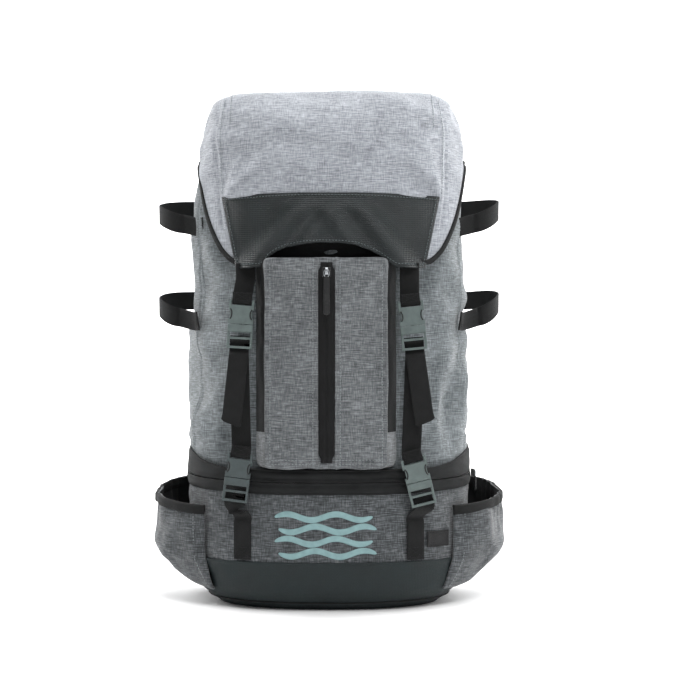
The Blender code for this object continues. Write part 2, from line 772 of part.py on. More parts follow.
def make_lid(materials):
    """The lid's shell, its binding and the panel on its front."""
    tops = (0.550, 0.5475, 0.543, 0.5375, 0.530)
    shares = (1.0, 0.8, 0.6, 0.4, 0.2, 0.0)
    outer = [lid_top_ring(z) for z in tops] + [lid_ring(share) for share in shares]
    inner = [lid_top_ring(z, LID_WALL) for z in tops]
    inner += [lid_ring(share, LID_WALL) for share in shares]
    vessel("lid_shell", outer, inner, materials["lid_cloth"])

    stacks = []
    for inset in (0.0, LID_WALL):
        upper, lower = lid_ring(0.0, inset), lid_ring(0.0, inset)
        for high, low in zip(upper, lower):
            high.z -= GAP
            low.z -= LID_BINDING_HEIGHT
        stacks.append([upper, lower])
    vessel("lid_binding", *stacks, materials["webbing"], open_both=True)

    rows = []
    levels = 6
    for step in range(levels + 1):
        share = step / levels
        row = []
        for edge_x, edge_z in PANEL_EDGE:
            x = edge_x * (1 + (PANEL_FLARE - 1) * share)
            z = edge_z + (PANEL_TOP - edge_z) * share
            y = front_y(LID_PROFILE, x, z, LID_CENTRE_X) - SKIN_GAP - PANEL_THICKNESS
            row.append(Vector((x, y, z)))
        rows.append(row)
    sheet("lid_panel", rows, PANEL_THICKNESS, materials["slate_panel"], toward=toward_back)


def make_lid_straps(materials):
    """Webbing from each tab of the panel to the upper buckle's female half."""
    for word, tab_x in (("left", -0.0865), ("right", 0.083)):
        y = front_y(LID_PROFILE, tab_x, 0.354, LID_CENTRE_X) - SKIN_GAP - 0.0008
        path = [Vector((tab_x, y, 0.3536)), Vector((tab_x, y - 0.0015, 0.343))]
        across = [ACROSS] * len(path)
        path += looped_end("upper_" + word)
        across += [buckle_across("upper_" + word)] * (len(path) - len(across))
        name = "lid_strap_" + word
        strip(name, path, across, WEBBING_WIDTH, WEBBING_THICKNESS, materials["webbing"])


def main():
    """Build every piece."""
    clear_scene()
    materials = make_materials()
    make_lower_pack(materials)
    make_side_pockets(materials)
    make_label(materials)
    make_lower_straps(materials)
    make_main_shell(materials)
    make_front_pocket(materials)
    make_back(materials)
    make_rod_loops(materials)
    make_main_straps(materials)
    make_buckles(materials)
    make_strap_tails(materials)
    make_front_slider(materials)
    make_lower_slider(materials)
    make_shoulder_straps(materials)
    make_lid(materials)
    make_lid_straps(materials)


main()
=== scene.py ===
"""The looks of the tackle backpack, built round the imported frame.

Metres, +Z up, front towards -Y. Cloth walls are fine grids on the same outlines as the frame's
shells, puffed by cloth simulation between their seams; straps, stitches and zips are swept.
"""
import json
import math

import bmesh
import bpy
import numpy as np
from mathutils import Matrix, Vector
from mathutils.bvhtree import BVHTree

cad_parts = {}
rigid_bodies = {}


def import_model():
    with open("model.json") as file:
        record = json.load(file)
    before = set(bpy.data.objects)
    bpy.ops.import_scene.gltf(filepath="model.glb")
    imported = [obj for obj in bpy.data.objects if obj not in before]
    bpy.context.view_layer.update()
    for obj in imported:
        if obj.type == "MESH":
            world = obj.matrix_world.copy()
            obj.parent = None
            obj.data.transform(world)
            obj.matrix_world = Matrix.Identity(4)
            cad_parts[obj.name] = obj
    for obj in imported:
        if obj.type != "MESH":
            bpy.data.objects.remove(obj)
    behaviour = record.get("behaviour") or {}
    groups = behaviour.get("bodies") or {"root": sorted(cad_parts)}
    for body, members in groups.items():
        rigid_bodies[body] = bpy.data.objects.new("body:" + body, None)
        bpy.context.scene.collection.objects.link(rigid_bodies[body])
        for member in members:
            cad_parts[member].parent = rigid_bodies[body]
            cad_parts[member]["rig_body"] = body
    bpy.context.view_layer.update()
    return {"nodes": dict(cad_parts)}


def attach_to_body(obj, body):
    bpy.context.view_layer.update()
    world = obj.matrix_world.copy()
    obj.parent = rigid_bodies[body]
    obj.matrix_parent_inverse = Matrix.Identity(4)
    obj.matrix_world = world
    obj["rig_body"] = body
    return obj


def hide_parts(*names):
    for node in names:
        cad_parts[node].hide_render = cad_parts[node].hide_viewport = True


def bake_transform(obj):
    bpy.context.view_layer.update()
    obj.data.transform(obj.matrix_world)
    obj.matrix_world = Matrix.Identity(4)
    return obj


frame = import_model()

# Outlines by height, as the frame has them: z, half width, front depth, back depth.
FRONT_POWER = 2.4
BACK_POWER = 5.0
ZIP_RISE = 0.045
NOMINAL = (0.150, 0.118, 0.090)
LOWER = (
    (0.000, 0.1180, 0.0930, 0.0700), (0.008, 0.1310, 0.1060, 0.0800),
    (0.020, 0.1425, 0.1145, 0.0870), (0.050, 0.1520, 0.1195, 0.0905),
    (0.090, 0.1525, 0.1195, 0.0905), (0.150, 0.1515, 0.1185, 0.0895),
)
MAIN = (
    (0.140, 0.1500, 0.1080, 0.0885), (0.200, 0.1510, 0.1090, 0.0885),
    (0.300, 0.1480, 0.1070, 0.0885), (0.360, 0.1450, 0.1050, 0.0885),
    (0.400, 0.1420, 0.1030, 0.0885), (0.440, 0.1375, 0.0990, 0.0880),
    (0.470, 0.1330, 0.0940, 0.0875),
)
LID = (
    (0.360, 0.1465, 0.1190, 0.0925), (0.430, 0.1465, 0.1180, 0.0925),
    (0.460, 0.1460, 0.1160, 0.0925), (0.490, 0.1435, 0.1120, 0.0925),
    (0.520, 0.1375, 0.1055, 0.0915), (0.530, 0.1345, 0.0985, 0.0890),
    (0.5375, 0.1310, 0.0840, 0.0850), (0.543, 0.1260, 0.0590, 0.0800),
    (0.5475, 0.1160, 0.0300, 0.0720), (0.550, 0.0980, 0.0120, 0.0600),
)
LID_CENTRE_X = 0.003
LID_EDGE = (
    (0.0, 0.386), (0.045, 0.386), (0.070, 0.374), (0.103, 0.362), (0.1185, 0.3765),
    (0.133, 0.406), (0.1423, 0.440), (0.1485, 0.478),
)
LID_BACK_EDGE = 0.478
WEBBING_WIDTH = 0.020
WEBBING_THICKNESS = 0.0013
CROWN_RISE = 0.0018
CROWN_ROUNDS = 400
RAY_START_Y = -0.4
DRAPE_FRAMES = 14
EVENING_ROUNDS = 10


# ---------------------------------------------------------------- curves and grids

def smoothed(rows, spread=0.006):
    """A function of the first column that rounds a table's straight runs into curves."""
    rows = np.array(rows, dtype=float)
    at = np.linspace(rows[0, 0] - 4 * spread, rows[-1, 0] + 4 * spread, 900)
    step = at[1] - at[0]
    reach = int(3 * spread / step) + 1
    kernel = np.exp(-0.5 * (np.arange(-reach, reach + 1) * step / spread) ** 2)
    kernel /= kernel.sum()
    columns = []
    for k in range(1, rows.shape[1]):
        line = np.pad(np.interp(at, rows[:, 0], rows[:, k]), reach, mode="edge")
        columns.append(np.convolve(line, kernel, mode="valid"))
    return lambda value: np.stack([np.interp(value, at, column) for column in columns], -1)


LOWER_AT = smoothed(LOWER, 0.002)
MAIN_AT = smoothed(MAIN, 0.012)
LID_AT = smoothed(LID, 0.004)
LID_EDGE_AT = smoothed(LID_EDGE, 0.004)


def signed_power(value, power):
    """A power of the size of each value, with its sign."""
    return np.sign(value) * np.abs(value) ** power


def outline(angle, sizes):
    """Points of the pack's outline, for arrays of angles and of half width, front and back."""
    across, along = np.cos(angle), np.sin(angle)
    power = np.where(along < 0, FRONT_POWER, BACK_POWER)
    depth = np.where(along < 0, sizes[..., 1], sizes[..., 2])
    x = signed_power(across, 2 / power) * sizes[..., 0]
    y = signed_power(along, 2 / power) * depth
    return x, y


def even_angles(count, sizes=NOMINAL, first=0.0, last=2 * math.pi):
    """Angles that space an outline's points evenly along it."""
    fine = np.linspace(first, last, 4001)
    x, y = outline(fine, np.broadcast_to(np.array(sizes), (4001, 3)))
    run = np.concatenate([[0], np.cumsum(np.hypot(np.diff(x), np.diff(y)))])
    whole = abs(last - first - 2 * math.pi) < 1e-6
    stops = np.linspace(0, run[-1], count, endpoint=not whole)
    return np.interp(stops, run, fine)


def nominal_outline(angles):
    """Points of the outline at its nominal size."""
    return outline(angles, np.broadcast_to(np.array(NOMINAL), (len(angles), 3)))


def wall(sizes_at, angles, heights, out=0.0, centre_x=0.0):
    """A grid of points on a wall. Heights has a row for each row of the grid."""
    sizes = sizes_at(heights) + np.asarray(out)[..., None]
    x, y = outline(np.broadcast_to(angles, heights.shape), sizes)
    return np.stack([x + centre_x, y, heights], -1)


def front_y(sizes_at, x, z, centre_x=0.0):
    """The depth of a front wall at arrays of x and z."""
    sizes = sizes_at(z)
    share = np.clip(np.abs(x - centre_x) / sizes[..., 0], 0, 1)
    return -sizes[..., 1] * (1 - share**FRONT_POWER) ** (1 / FRONT_POWER)


def soft_noise(points, lengths, seed, waves=26):
    """A smooth random field of about unit size, whose features have the given lengths."""
    rng = np.random.default_rng(seed)
    total = np.zeros(points.shape[:-1])
    for _ in range(waves):
        pull = rng.normal(size=3) / np.asarray(lengths)
        total += np.sin(points @ pull * 2.2 + rng.uniform(0, 2 * math.pi))
    return total / math.sqrt(waves / 2)


def bump_of(value, middle, width):
    """A smooth hump at a value."""
    return np.exp(-0.5 * ((value - middle) / width) ** 2)


def smooth_step(low, high, value):
    """0 below low, 1 above high, and a smooth climb between."""
    share = np.clip((value - low) / (high - low), 0, 1)
    return share * share * (3 - 2 * share)


def smooth_path(points, spacing):
    """A smooth curve through points, as an evenly spaced array."""
    points = np.array([tuple(p) for p in points], dtype=float)
    ends = np.vstack([2 * points[0] - points[1], points, 2 * points[-1] - points[-2]])
    fine = []
    for a, b, c, d in zip(ends, ends[1:], ends[2:], ends[3:]):
        for t in np.linspace(0, 1, 24, endpoint=False):
            fine.append(0.5 * (2 * b + (c - a) * t + (2 * a - 5 * b + 4 * c - d) * t**2
                               + (3 * b - a - 3 * c + d) * t**3))
    fine.append(points[-1])
    return evenly(np.array(fine), spacing)


def evenly(points, spacing):
    """A polyline's points at an even spacing."""
    run = np.concatenate([[0], np.cumsum(np.linalg.norm(np.diff(points, axis=0), axis=1))])
    count = max(2, int(round(run[-1] / spacing)) + 1)
    stops = np.linspace(0, run[-1], count)
    return np.stack([np.interp(stops, run, points[:, k]) for k in range(3)], -1)


def polygon_object(name, points, faces, material, uvs=None):
    """A smooth-shaded object from points and faces, with optional UVs for each corner."""
    mesh = bpy.data.meshes.new(name)
    mesh.from_pydata([tuple(p) for p in np.asarray(points).reshape(-1, 3)], [], faces)
    mesh.materials.append(material)
    mesh.shade_smooth()
    if uvs is not None:
        layer = mesh.uv_layers.new(name="cloth")
        layer.data.foreach_set("uv", np.asarray(uvs, dtype=np.float32).ravel())
    obj = bpy.data.objects.new(name, mesh)
    bpy.context.collection.objects.link(obj)
    return obj


def grid_faces(rows, columns, closed=False, start=0):
    """Quads of a grid of points, counted row by row."""
    last = columns if closed else columns - 1
    return [
        (start + r * columns + c, start + r * columns + (c + 1) % columns,
         start + (r + 1) * columns + (c + 1) % columns, start + (r + 1) * columns + c)
        for r in range(rows - 1) for c in range(last)
    ]


def grid_object(name, points, material, closed=False, cap=False):
    """An object from a grid of points. A cap closes the last row with a fan."""
    rows, columns = points.shape[:2]
    faces = grid_faces(rows, columns, closed)
    if cap:
        last = (rows - 1) * columns
        middle = points[-1].mean(axis=0)
        points = np.vstack([points.reshape(-1, 3), middle[None]])
        faces += [(last + c, last + (c + 1) % columns, last + columns) for c in range(columns)]
    return polygon_object(name, points, faces, material)


def square_crown(rim, start, first):
    """Fill a closed rim with a square grid: the new points, and quads for a mesh that has
    the rim's points from index start and gets the new ones from index first."""
    side = len(rim) // 4
    place = np.zeros((side + 1, side + 1), dtype=int)
    walk = (np.arange(4 * side) - side // 2) % (4 * side)
    place[0, :-1] = walk[:side]
    place[:-1, -1] = walk[side:2 * side]
    place[-1, :0:-1] = walk[2 * side:3 * side]
    place[:0:-1, 0] = walk[3 * side:]
    u, v = np.meshgrid(np.linspace(0, 1, side + 1), np.linspace(0, 1, side + 1))
    u, v = u[..., None], v[..., None]
    low, high = rim[place[0]][None], rim[place[-1]][None]
    left, right = rim[place[:, 0]][:, None], rim[place[:, -1]][:, None]
    corners = ((1 - u) * (1 - v) * low[:, :1] + u * (1 - v) * low[:, -1:]
               + (1 - u) * v * high[:, :1] + u * v * high[:, -1:])
    patch = (1 - v) * low + v * high + (1 - u) * left + u * right - corners
    for _ in range(CROWN_ROUNDS):
        patch[1:-1, 1:-1] = 0.25 * (patch[:-2, 1:-1] + patch[2:, 1:-1]
                                    + patch[1:-1, :-2] + patch[1:-1, 2:])
    rise = (1 - (2 * u - 1) ** 2) * (1 - (2 * v - 1) ** 2)
    patch[..., 2:] += CROWN_RISE * rise
    index = place + start
    inner = patch[1:-1, 1:-1]
    index[1:-1, 1:-1] = first + np.arange((side - 1) ** 2).reshape(side - 1, side - 1)
    faces = [(index[r, c], index[r, c + 1], index[r + 1, c + 1], index[r + 1, c])
             for r in range(side) for c in range(side)]
    return inner.reshape(-1, 3), [tuple(int(i) for i in face) for face in faces]


def box_uv(obj):
    """UVs in metres, laid flat on each face by the way that it looks."""
    mesh = obj.data
    layer = mesh.uv_layers.get("cloth") or mesh.uv_layers.new(name="cloth")
    count = len(mesh.loops)
    where = np.empty(len(mesh.vertices) * 3)
    mesh.vertices.foreach_get("co", where)
    where = where.reshape(-1, 3)
    vertex = np.empty(count, dtype=int)
    mesh.loops.foreach_get("vertex_index", vertex)
    normals = np.empty(len(mesh.polygons) * 3)
    mesh.polygons.foreach_get("normal", normals)
    sizes = np.empty(len(mesh.polygons), dtype=int)
    mesh.polygons.foreach_get("loop_total", sizes)
    facing = np.repeat(np.abs(normals.reshape(-1, 3)), sizes, axis=0)
    at = where[vertex]
    side = facing[:, 0] > np.maximum(facing[:, 1], facing[:, 2]) * 1.2
    top = (facing[:, 2] > facing[:, 1] * 1.3) & ~side
    u = np.where(side, at[:, 1] + 0.37, at[:, 0])
    v = np.where(top, at[:, 1] + 0.71, at[:, 2])
    layer.data.foreach_set("uv", np.stack([u, v], -1).astype(np.float32).ravel())


def thicken(obj, thickness):
    """Give a sheet thickness, with its own UVs on both sides."""
    solid = obj.modifiers.new("Thickness", "SOLIDIFY")
    solid.thickness = thickness
    solid.offset = -1.0
    solid.use_quality_normals = True


def apply_modifiers(obj):
    """Turn an object's modifiers into its mesh."""
    view = bpy.context.evaluated_depsgraph_get()
    mesh = bpy.data.meshes.new_from_object(obj.evaluated_get(view))
    obj.modifiers.clear()
    old = obj.data
    obj.data = mesh
    bpy.data.meshes.remove(old)


def coordinates(mesh):
    """A mesh's points as an array."""
    where = np.empty(len(mesh.vertices) * 3)
    mesh.vertices.foreach_get("co", where)
    return where.reshape(-1, 3)


def drape(obj, pinned, grow=0.02, pressure=3.0, cap=0.006, bending=0.4):
    """Puff a sheet between its pinned points by cloth simulation, and keep the result."""
    group = obj.vertex_groups.new(name="pins")
    weights = np.clip(np.asarray(pinned, dtype=float).ravel(), 0, 1)
    weights = np.pad(weights, (0, len(obj.data.vertices) - len(weights)))
    for weight in np.unique(weights):
        if weight > 0:
            group.add([int(i) for i in np.nonzero(weights == weight)[0]], float(weight), "REPLACE")
    cloth = obj.modifiers.new("Cloth", "CLOTH")
    settings = cloth.settings
    settings.quality = 5
    settings.mass = 0.15
    settings.tension_stiffness = 20
    settings.compression_stiffness = 20
    settings.shear_stiffness = 8
    settings.bending_stiffness = bending
    settings.shrink_min = -grow
    settings.use_pressure = True
    settings.uniform_pressure_force = pressure
    settings.vertex_group_mass = "pins"
    settings.pin_stiffness = 1.0
    settings.effector_weights.gravity = 0
    cloth.collision_settings.use_collision = False
    scene = bpy.context.scene
    before = coordinates(obj.data)
    for step in range(1, DRAPE_FRAMES + 1):
        scene.frame_set(step)
    view = bpy.context.evaluated_depsgraph_get()
    moved = coordinates(obj.evaluated_get(view).data) - before
    length = np.linalg.norm(moved, axis=1, keepdims=True)
    moved *= cap * np.tanh(length / cap) / np.maximum(length, 1e-9)
    moved = evened(obj.data, moved, EVENING_ROUNDS)
    obj.modifiers.remove(cloth)
    obj.vertex_groups.remove(group)
    obj.data.vertices.foreach_set("co", (before + moved).ravel())
    obj.data.update()
    scene.frame_set(1)


def evened(mesh, values, rounds):
    """A value at each point of a mesh, averaged with its neighbours several times."""
    ends = np.empty(len(mesh.edges) * 2, dtype=int)
    mesh.edges.foreach_get("vertices", ends)
    ends = ends.reshape(-1, 2)
    count = np.bincount(ends.ravel(), minlength=len(values))[:, None]
    for _ in range(rounds):
        total = np.zeros_like(values)
        np.add.at(total, ends[:, 0], values[ends[:, 1]])
        np.add.at(total, ends[:, 1], values[ends[:, 0]])
        values = 0.5 * values + 0.5 * total / np.maximum(count, 1)
    return values


def refine(obj):
    """Add a level of subdivision to a sheet."""
    surface = obj.modifiers.new("Subdivision", "SUBSURF")
    surface.levels = 1
    surface.render_levels = 1


# ---------------------------------------------------------------- materials

class Graph:
    """A material's nodes, added and linked one call at a time."""

    def __init__(self, name):
        self.material = bpy.data.materials.new(name)
        self.material.use_nodes = True
        self.tree = self.material.node_tree
        self.shader = self.tree.nodes["Principled BSDF"]

    def add(self, kind, inputs=None, **settings):
        """A node with its settings, and its inputs linked or set."""
        node = self.tree.nodes.new("ShaderNode" + kind)
        for key, value in settings.items():
            setattr(node, key, value)
        for key, value in (inputs or {}).items():
            self.give(node.inputs[key], value)
        return node

    def give(self, socket, value):
        """Link a socket, or set its value."""
        if isinstance(value, bpy.types.NodeSocket):
            self.tree.links.new(value, socket)
        else:
            socket.default_value = value

    def math(self, operation, a, b=0.0):
        """The result of a Math node."""
        return self.add("Math", {0: a, 1: b}, operation=operation).outputs[0]

    def ramp(self, factor, stops):
        """A colour ramp's colour."""
        node = self.add("ValToRGB", {0: factor})
        ramp = node.color_ramp
        while len(ramp.elements) < len(stops):
            ramp.elements.new(0.5)
        for element, (position, value) in zip(ramp.elements, stops):
            element.position = position
            colour = value if isinstance(value, tuple) else (value, value, value)
            element.color = (*colour, 1.0)
        return node.outputs[0]

    def noise(self, vector, scale, detail=2.0, roughness=0.5):
        """A noise texture's value."""
        inputs = {"Vector": vector, "Scale": scale, "Detail": detail, "Roughness": roughness}
        return self.add("TexNoise", inputs).outputs[0]

    def stretched(self, vector, scale, turn=0.0):
        """A vector scaled by axis."""
        inputs = {"Vector": vector, "Rotation": (0, 0, turn), "Scale": scale}
        return self.add("Mapping", inputs).outputs[0]

    def bump(self, height, distance, strength):
        """A bump's normal."""
        inputs = {"Height": height, "Distance": distance, "Strength": strength}
        return self.add("Bump", inputs).outputs[0]

    def finish(self, colour, roughness, normal=None, metallic=0.0, sheen=0.0, specular=0.5):
        """Feed the shader and hand the material over."""
        value = (*colour, 1.0) if isinstance(colour, tuple) else colour
        self.give(self.shader.inputs["Base Color"], value)
        self.give(self.shader.inputs["Roughness"], roughness)
        self.shader.inputs["Metallic"].default_value = metallic
        self.shader.inputs["Sheen Weight"].default_value = sheen
        self.shader.inputs["Sheen Roughness"].default_value = 0.5
        self.shader.inputs["Specular IOR Level"].default_value = specular
        if normal is not None:
            self.give(self.shader.inputs["Normal"], normal)
        return self.material


def cloth_uv(graph):
    """The flat cloth coordinates, in metres."""
    return graph.add("UVMap", uv_map="cloth").outputs[0]


def object_at(graph):
    """The point in the object's own frame, in metres."""
    return graph.add("TexCoord").outputs["Object"]


def heather(name, dark, middle, light):
    """Melange cloth: short light and dark yarns both ways over a plain weave."""
    g = Graph(name)
    uv = cloth_uv(g)
    yarn_across = g.noise(g.stretched(uv, (85, 830, 1)), 1.0, 2.0, 0.55)
    yarn_up = g.noise(g.stretched(uv, (800, 120, 1)), 1.0, 2.0, 0.55)
    fine = g.noise(uv, 1500.0, 1.0)
    blotch = g.noise(uv, 26.0, 3.0)
    yarns = g.math("ADD", g.math("MULTIPLY", yarn_across, 0.56), g.math("MULTIPLY", yarn_up, 0.36))
    value = g.math("ADD", yarns, g.math("MULTIPLY", fine, 0.10))
    value = g.math("ADD", value, g.math("MULTIPLY", g.math("SUBTRACT", blotch, 0.5), 0.16))
    middle_at = 0.515
    spread = 0.150
    colour = g.ramp(value, (
        (middle_at - spread, dark), (middle_at, middle), (middle_at + spread * 0.9, light),
    ))
    split = g.add("SeparateXYZ", {0: uv}).outputs
    pitch = 2 * math.pi / 0.0011
    across = g.math("SINE", g.math("MULTIPLY", split[0], pitch))
    up = g.math("SINE", g.math("MULTIPLY", split[1], pitch))
    weave = g.math("MULTIPLY", across, up)
    height = g.math("ADD", g.math("MULTIPLY", weave, 0.5), g.math("MULTIPLY", yarns, 3.0))
    normal = g.bump(height, 0.00022, 0.7)
    rough = g.ramp(value, ((0.3, 0.96), (0.7, 0.80)))
    return g.finish(colour, rough, normal, sheen=0.25, specular=0.25)


def slate_material():
    """Coated cloth with fine level ribs of small dots."""
    g = Graph("slate_coated")
    uv = cloth_uv(g)
    split = g.add("SeparateXYZ", {0: uv}).outputs
    ribs = g.math("SINE", g.math("MULTIPLY", split[1], 2 * math.pi / 0.0021))
    dots = g.math("SINE", g.math("MULTIPLY", split[0], 2 * math.pi / 0.0017))
    height = g.math("ADD", ribs, g.math("MULTIPLY", dots, 0.45))
    grain = g.noise(uv, 900.0, 3.0)
    height = g.math("ADD", height, g.math("MULTIPLY", grain, 0.5))
    blotch = g.noise(uv, 40.0, 3.0)
    shade = g.math("ADD", g.math("MULTIPLY", height, 0.16), g.math("MULTIPLY", blotch, 0.7))
    colour = g.ramp(shade, ((0.10, (0.006, 0.0085, 0.009)), (0.80, (0.021, 0.028, 0.030))))
    rough = g.ramp(blotch, ((0.3, 0.36), (0.7, 0.48)))
    return g.finish(colour, rough, g.bump(height, 0.00030, 0.7), specular=0.35)


def base_material():
    """Tough coated cloth with a close grid of raised dots."""
    g = Graph("base_coated")
    uv = cloth_uv(g)
    dots = g.add("TexVoronoi", {"Vector": uv, "Scale": 620.0, "Randomness": 0.25}).outputs[0]
    blotch = g.noise(uv, 30.0, 3.0)
    shade = g.math("ADD", g.math("MULTIPLY", dots, -0.35), blotch)
    colour = g.ramp(shade, ((0.05, (0.006, 0.0105, 0.0115)), (0.60, (0.014, 0.022, 0.0235))))
    normal = g.bump(dots, -0.00045, 0.7)
    rough = g.ramp(blotch, ((0.3, 0.58), (0.7, 0.72)))
    return g.finish(colour, rough, normal, specular=0.35)


def webbing_material():
    """Ribbed webbing, whose UVs run across and along the strap."""
    g = Graph("webbing_weave")
    uv = cloth_uv(g)
    split = g.add("SeparateXYZ", {0: uv}).outputs
    zig = g.math("PINGPONG", split[0], 0.0025)
    slant = g.math("ADD", g.math("MULTIPLY", split[1], 2 * math.pi / 0.0013),
                   g.math("MULTIPLY", zig, 2 * math.pi / 0.0026))
    ribs = g.math("SINE", slant)
    threads = g.math("SINE", g.math("MULTIPLY", split[0], 2 * math.pi / 0.0008))
    height = g.math("ADD", ribs, g.math("MULTIPLY", threads, 0.6))
    fuzz = g.noise(uv, 1400.0, 2.0)
    blotch = g.noise(uv, 60.0, 2.0)
    shade = g.math("ADD", g.math("MULTIPLY", height, 0.12), g.math("ADD", fuzz, blotch))
    dark, light = (0.0030, 0.0032, 0.0034), (0.0120, 0.0126, 0.0132)
    colour = g.ramp(g.math("MULTIPLY", shade, 0.5), ((0.25, dark), (0.75, light)))
    return g.finish(colour, 0.78, g.bump(height, 0.00022, 0.8), sheen=0.05, specular=0.25)


def plastic_material(name, colour, roughness=0.36):
    """Satin moulded plastic with a faint texture and rubbed patches."""
    g = Graph(name)
    at = object_at(g)
    grain = g.noise(at, 2600.0, 2.0)
    patches = g.noise(at, 160.0, 3.0)
    tone = g.ramp(patches, ((0.3, tuple(c * 0.86 for c in colour)), (0.7, tuple(c * 1.1 for c in colour))))
    rough = g.ramp(patches, ((0.3, roughness - 0.06), (0.7, roughness + 0.08)))
    return g.finish(tone, rough, g.bump(grain, 0.00006, 0.5), specular=0.5)


def metal_material():
    """Dull nickel with fine scratches."""
    g = Graph("slider_nickel")
    at = object_at(g)
    scratches = g.noise(g.stretched(at, (400, 400, 5000)), 1.0, 3.0)
    rough = g.ramp(scratches, ((0.3, 0.26), (0.7, 0.42)))
    colour = g.ramp(scratches, ((0.3, (0.36, 0.38, 0.40)), (0.7, (0.52, 0.54, 0.56))))
    return g.finish(colour, rough, g.bump(scratches, 0.00004, 0.4), metallic=1.0)


def plain_cloth(name, dark, light, scale=1.0, rough=0.8, sheen=0.1):
    """Close plain-woven nylon."""
    g = Graph(name)
    uv = cloth_uv(g)
    split = g.add("SeparateXYZ", {0: uv}).outputs
    pitch = 2 * math.pi / (0.0009 * scale)
    across = g.math("SINE", g.math("MULTIPLY", split[0], pitch))
    up = g.math("SINE", g.math("MULTIPLY", split[1], pitch))
    weave = g.math("MULTIPLY", across, up)
    blotch = g.noise(uv, 50.0, 4.0)
    colour = g.ramp(blotch, ((0.3, dark), (0.7, light)))
    return g.finish(colour, rough, g.bump(weave, 0.00012, 0.7), sheen=sheen, specular=0.3)


def mesh_material():
    """Spacer mesh: rows of small dark holes."""
    g = Graph("spacer_mesh")
    uv = cloth_uv(g)
    cells = g.add("TexVoronoi", {"Vector": uv, "Scale": 330.0, "Randomness": 0.12}).outputs[0]
    colour = g.ramp(cells, ((0.12, (0.004, 0.0042, 0.0045)), (0.40, (0.030, 0.032, 0.034))))
    return g.finish(colour, 0.88, g.bump(cells, 0.0006, 0.9), sheen=0.2, specular=0.2)


def thread_material(name, colour):
    """Twisted thread."""
    g = Graph(name)
    at = object_at(g)
    twist = g.noise(g.stretched(at, (1500, 1500, 1500)), 1.0, 2.0)
    tone = g.ramp(twist, ((0.3, tuple(c * 0.7 for c in colour)), (0.7, colour)))
    return g.finish(tone, 0.7, g.bump(twist, 0.0001, 0.6), specular=0.3)


def make_materials():
    """Every material, by a short name."""
    return {
        "lid": heather("lid_heather", (0.180, 0.192, 0.214), (0.335, 0.354, 0.388), (0.500, 0.525, 0.565)),
        "body": heather("body_heather", (0.070, 0.080, 0.085), (0.155, 0.174, 0.183), (0.275, 0.302, 0.318)),
        "pocket": heather("pocket_heather", (0.060, 0.065, 0.068), (0.128, 0.137, 0.144),
                          (0.245, 0.260, 0.272)),
        "lower": heather("lower_heather", (0.022, 0.0245, 0.0265), (0.068, 0.074, 0.079),
                         (0.155, 0.167, 0.177)),
        "slate": slate_material(),
        "base": base_material(),
        "webbing": webbing_material(),
        "zip": plain_cloth("zip_cloth", (0.0025, 0.0028, 0.003), (0.005, 0.0054, 0.006), sheen=0.0),
        "band": plain_cloth("band_cloth", (0.005, 0.0055, 0.006), (0.011, 0.012, 0.0125), 1.2, sheen=0.0),
        "coil": plastic_material("zip_coil", (0.008, 0.008, 0.009), 0.30),
        "lining": plain_cloth("lining_nylon", (0.004, 0.0045, 0.005), (0.008, 0.0085, 0.009), sheen=0.0),
        "binding": plain_cloth("binding_tape", (0.0045, 0.005, 0.005), (0.009, 0.0095, 0.010), 1.3,
                               sheen=0.0),
        "buckle": plastic_material("buckle_acetal", (0.108, 0.138, 0.134)),
        # Painted shade: a darker copy of the buckle plastic, for the lower-left buckle and for the prongs in
        # the buckles' windows.
        "buckle_painted_shade": plastic_material("buckle_acetal_painted_shade", (0.050, 0.066, 0.068)),
        "metal": metal_material(),
        "pull": plastic_material("pull_rubber", (0.004, 0.0045, 0.005), 0.50),
        "label": plain_cloth("label_satin", (0.004, 0.004, 0.005), (0.008, 0.008, 0.009), 0.7, 0.6),
        "print": plastic_material("ripple_print", (0.215, 0.350, 0.362), 0.6),
        "mesh": mesh_material(),
        "thread": thread_material("thread_grey", (0.30, 0.33, 0.34)),
        "thread_dark": thread_material("thread_black", (0.016, 0.017, 0.018)),
        "thread_slate": thread_material("thread_slate", (0.13, 0.155, 0.16)),
        "board": plastic_material("stiff_board", (0.030, 0.031, 0.032), 0.6),
    }


MATERIALS = make_materials()


# ---------------------------------------------------------------- swept pieces

def frames_along(path, across):
    """Tangent, across and normal directions at each point of a path."""
    tangent = np.gradient(path, axis=0)
    tangent /= np.linalg.norm(tangent, axis=1, keepdims=True)
    across = np.broadcast_to(np.asarray(across, dtype=float), path.shape).copy()
    across -= (across * tangent).sum(1, keepdims=True) * tangent
    across /= np.linalg.norm(across, axis=1, keepdims=True)
    return tangent, across, np.cross(tangent, across)


def swept(name, path, across, section, material, caps=True):
    """A closed section (across, normal) carried along a path, with UVs across and along."""
    _, side, normal = frames_along(path, across)
    section = np.asarray(section, dtype=float)
    points = (path[:, None] + side[:, None] * section[None, :, :1]
              + normal[:, None] * section[None, :, 1:])
    rows, columns = points.shape[:2]
    faces = grid_faces(rows, columns, closed=True)
    run = np.concatenate([[0], np.cumsum(np.linalg.norm(np.diff(path, axis=0), axis=1))])
    u = section[:, 0]
    uvs = []
    for r in range(rows - 1):
        for c in range(columns):
            d = (c + 1) % columns
            uvs += [(u[c], run[r]), (u[d], run[r]), (u[d], run[r + 1]), (u[c], run[r + 1])]
    if caps:
        for row in (0, rows - 1):
            face = tuple(row * columns + c for c in range(columns))
            faces.append(face if row else face[::-1])
            uvs += [(u[i % columns], run[row]) for i in (face if row else face[::-1])]
    return polygon_object(name, points, faces, material, uvs)


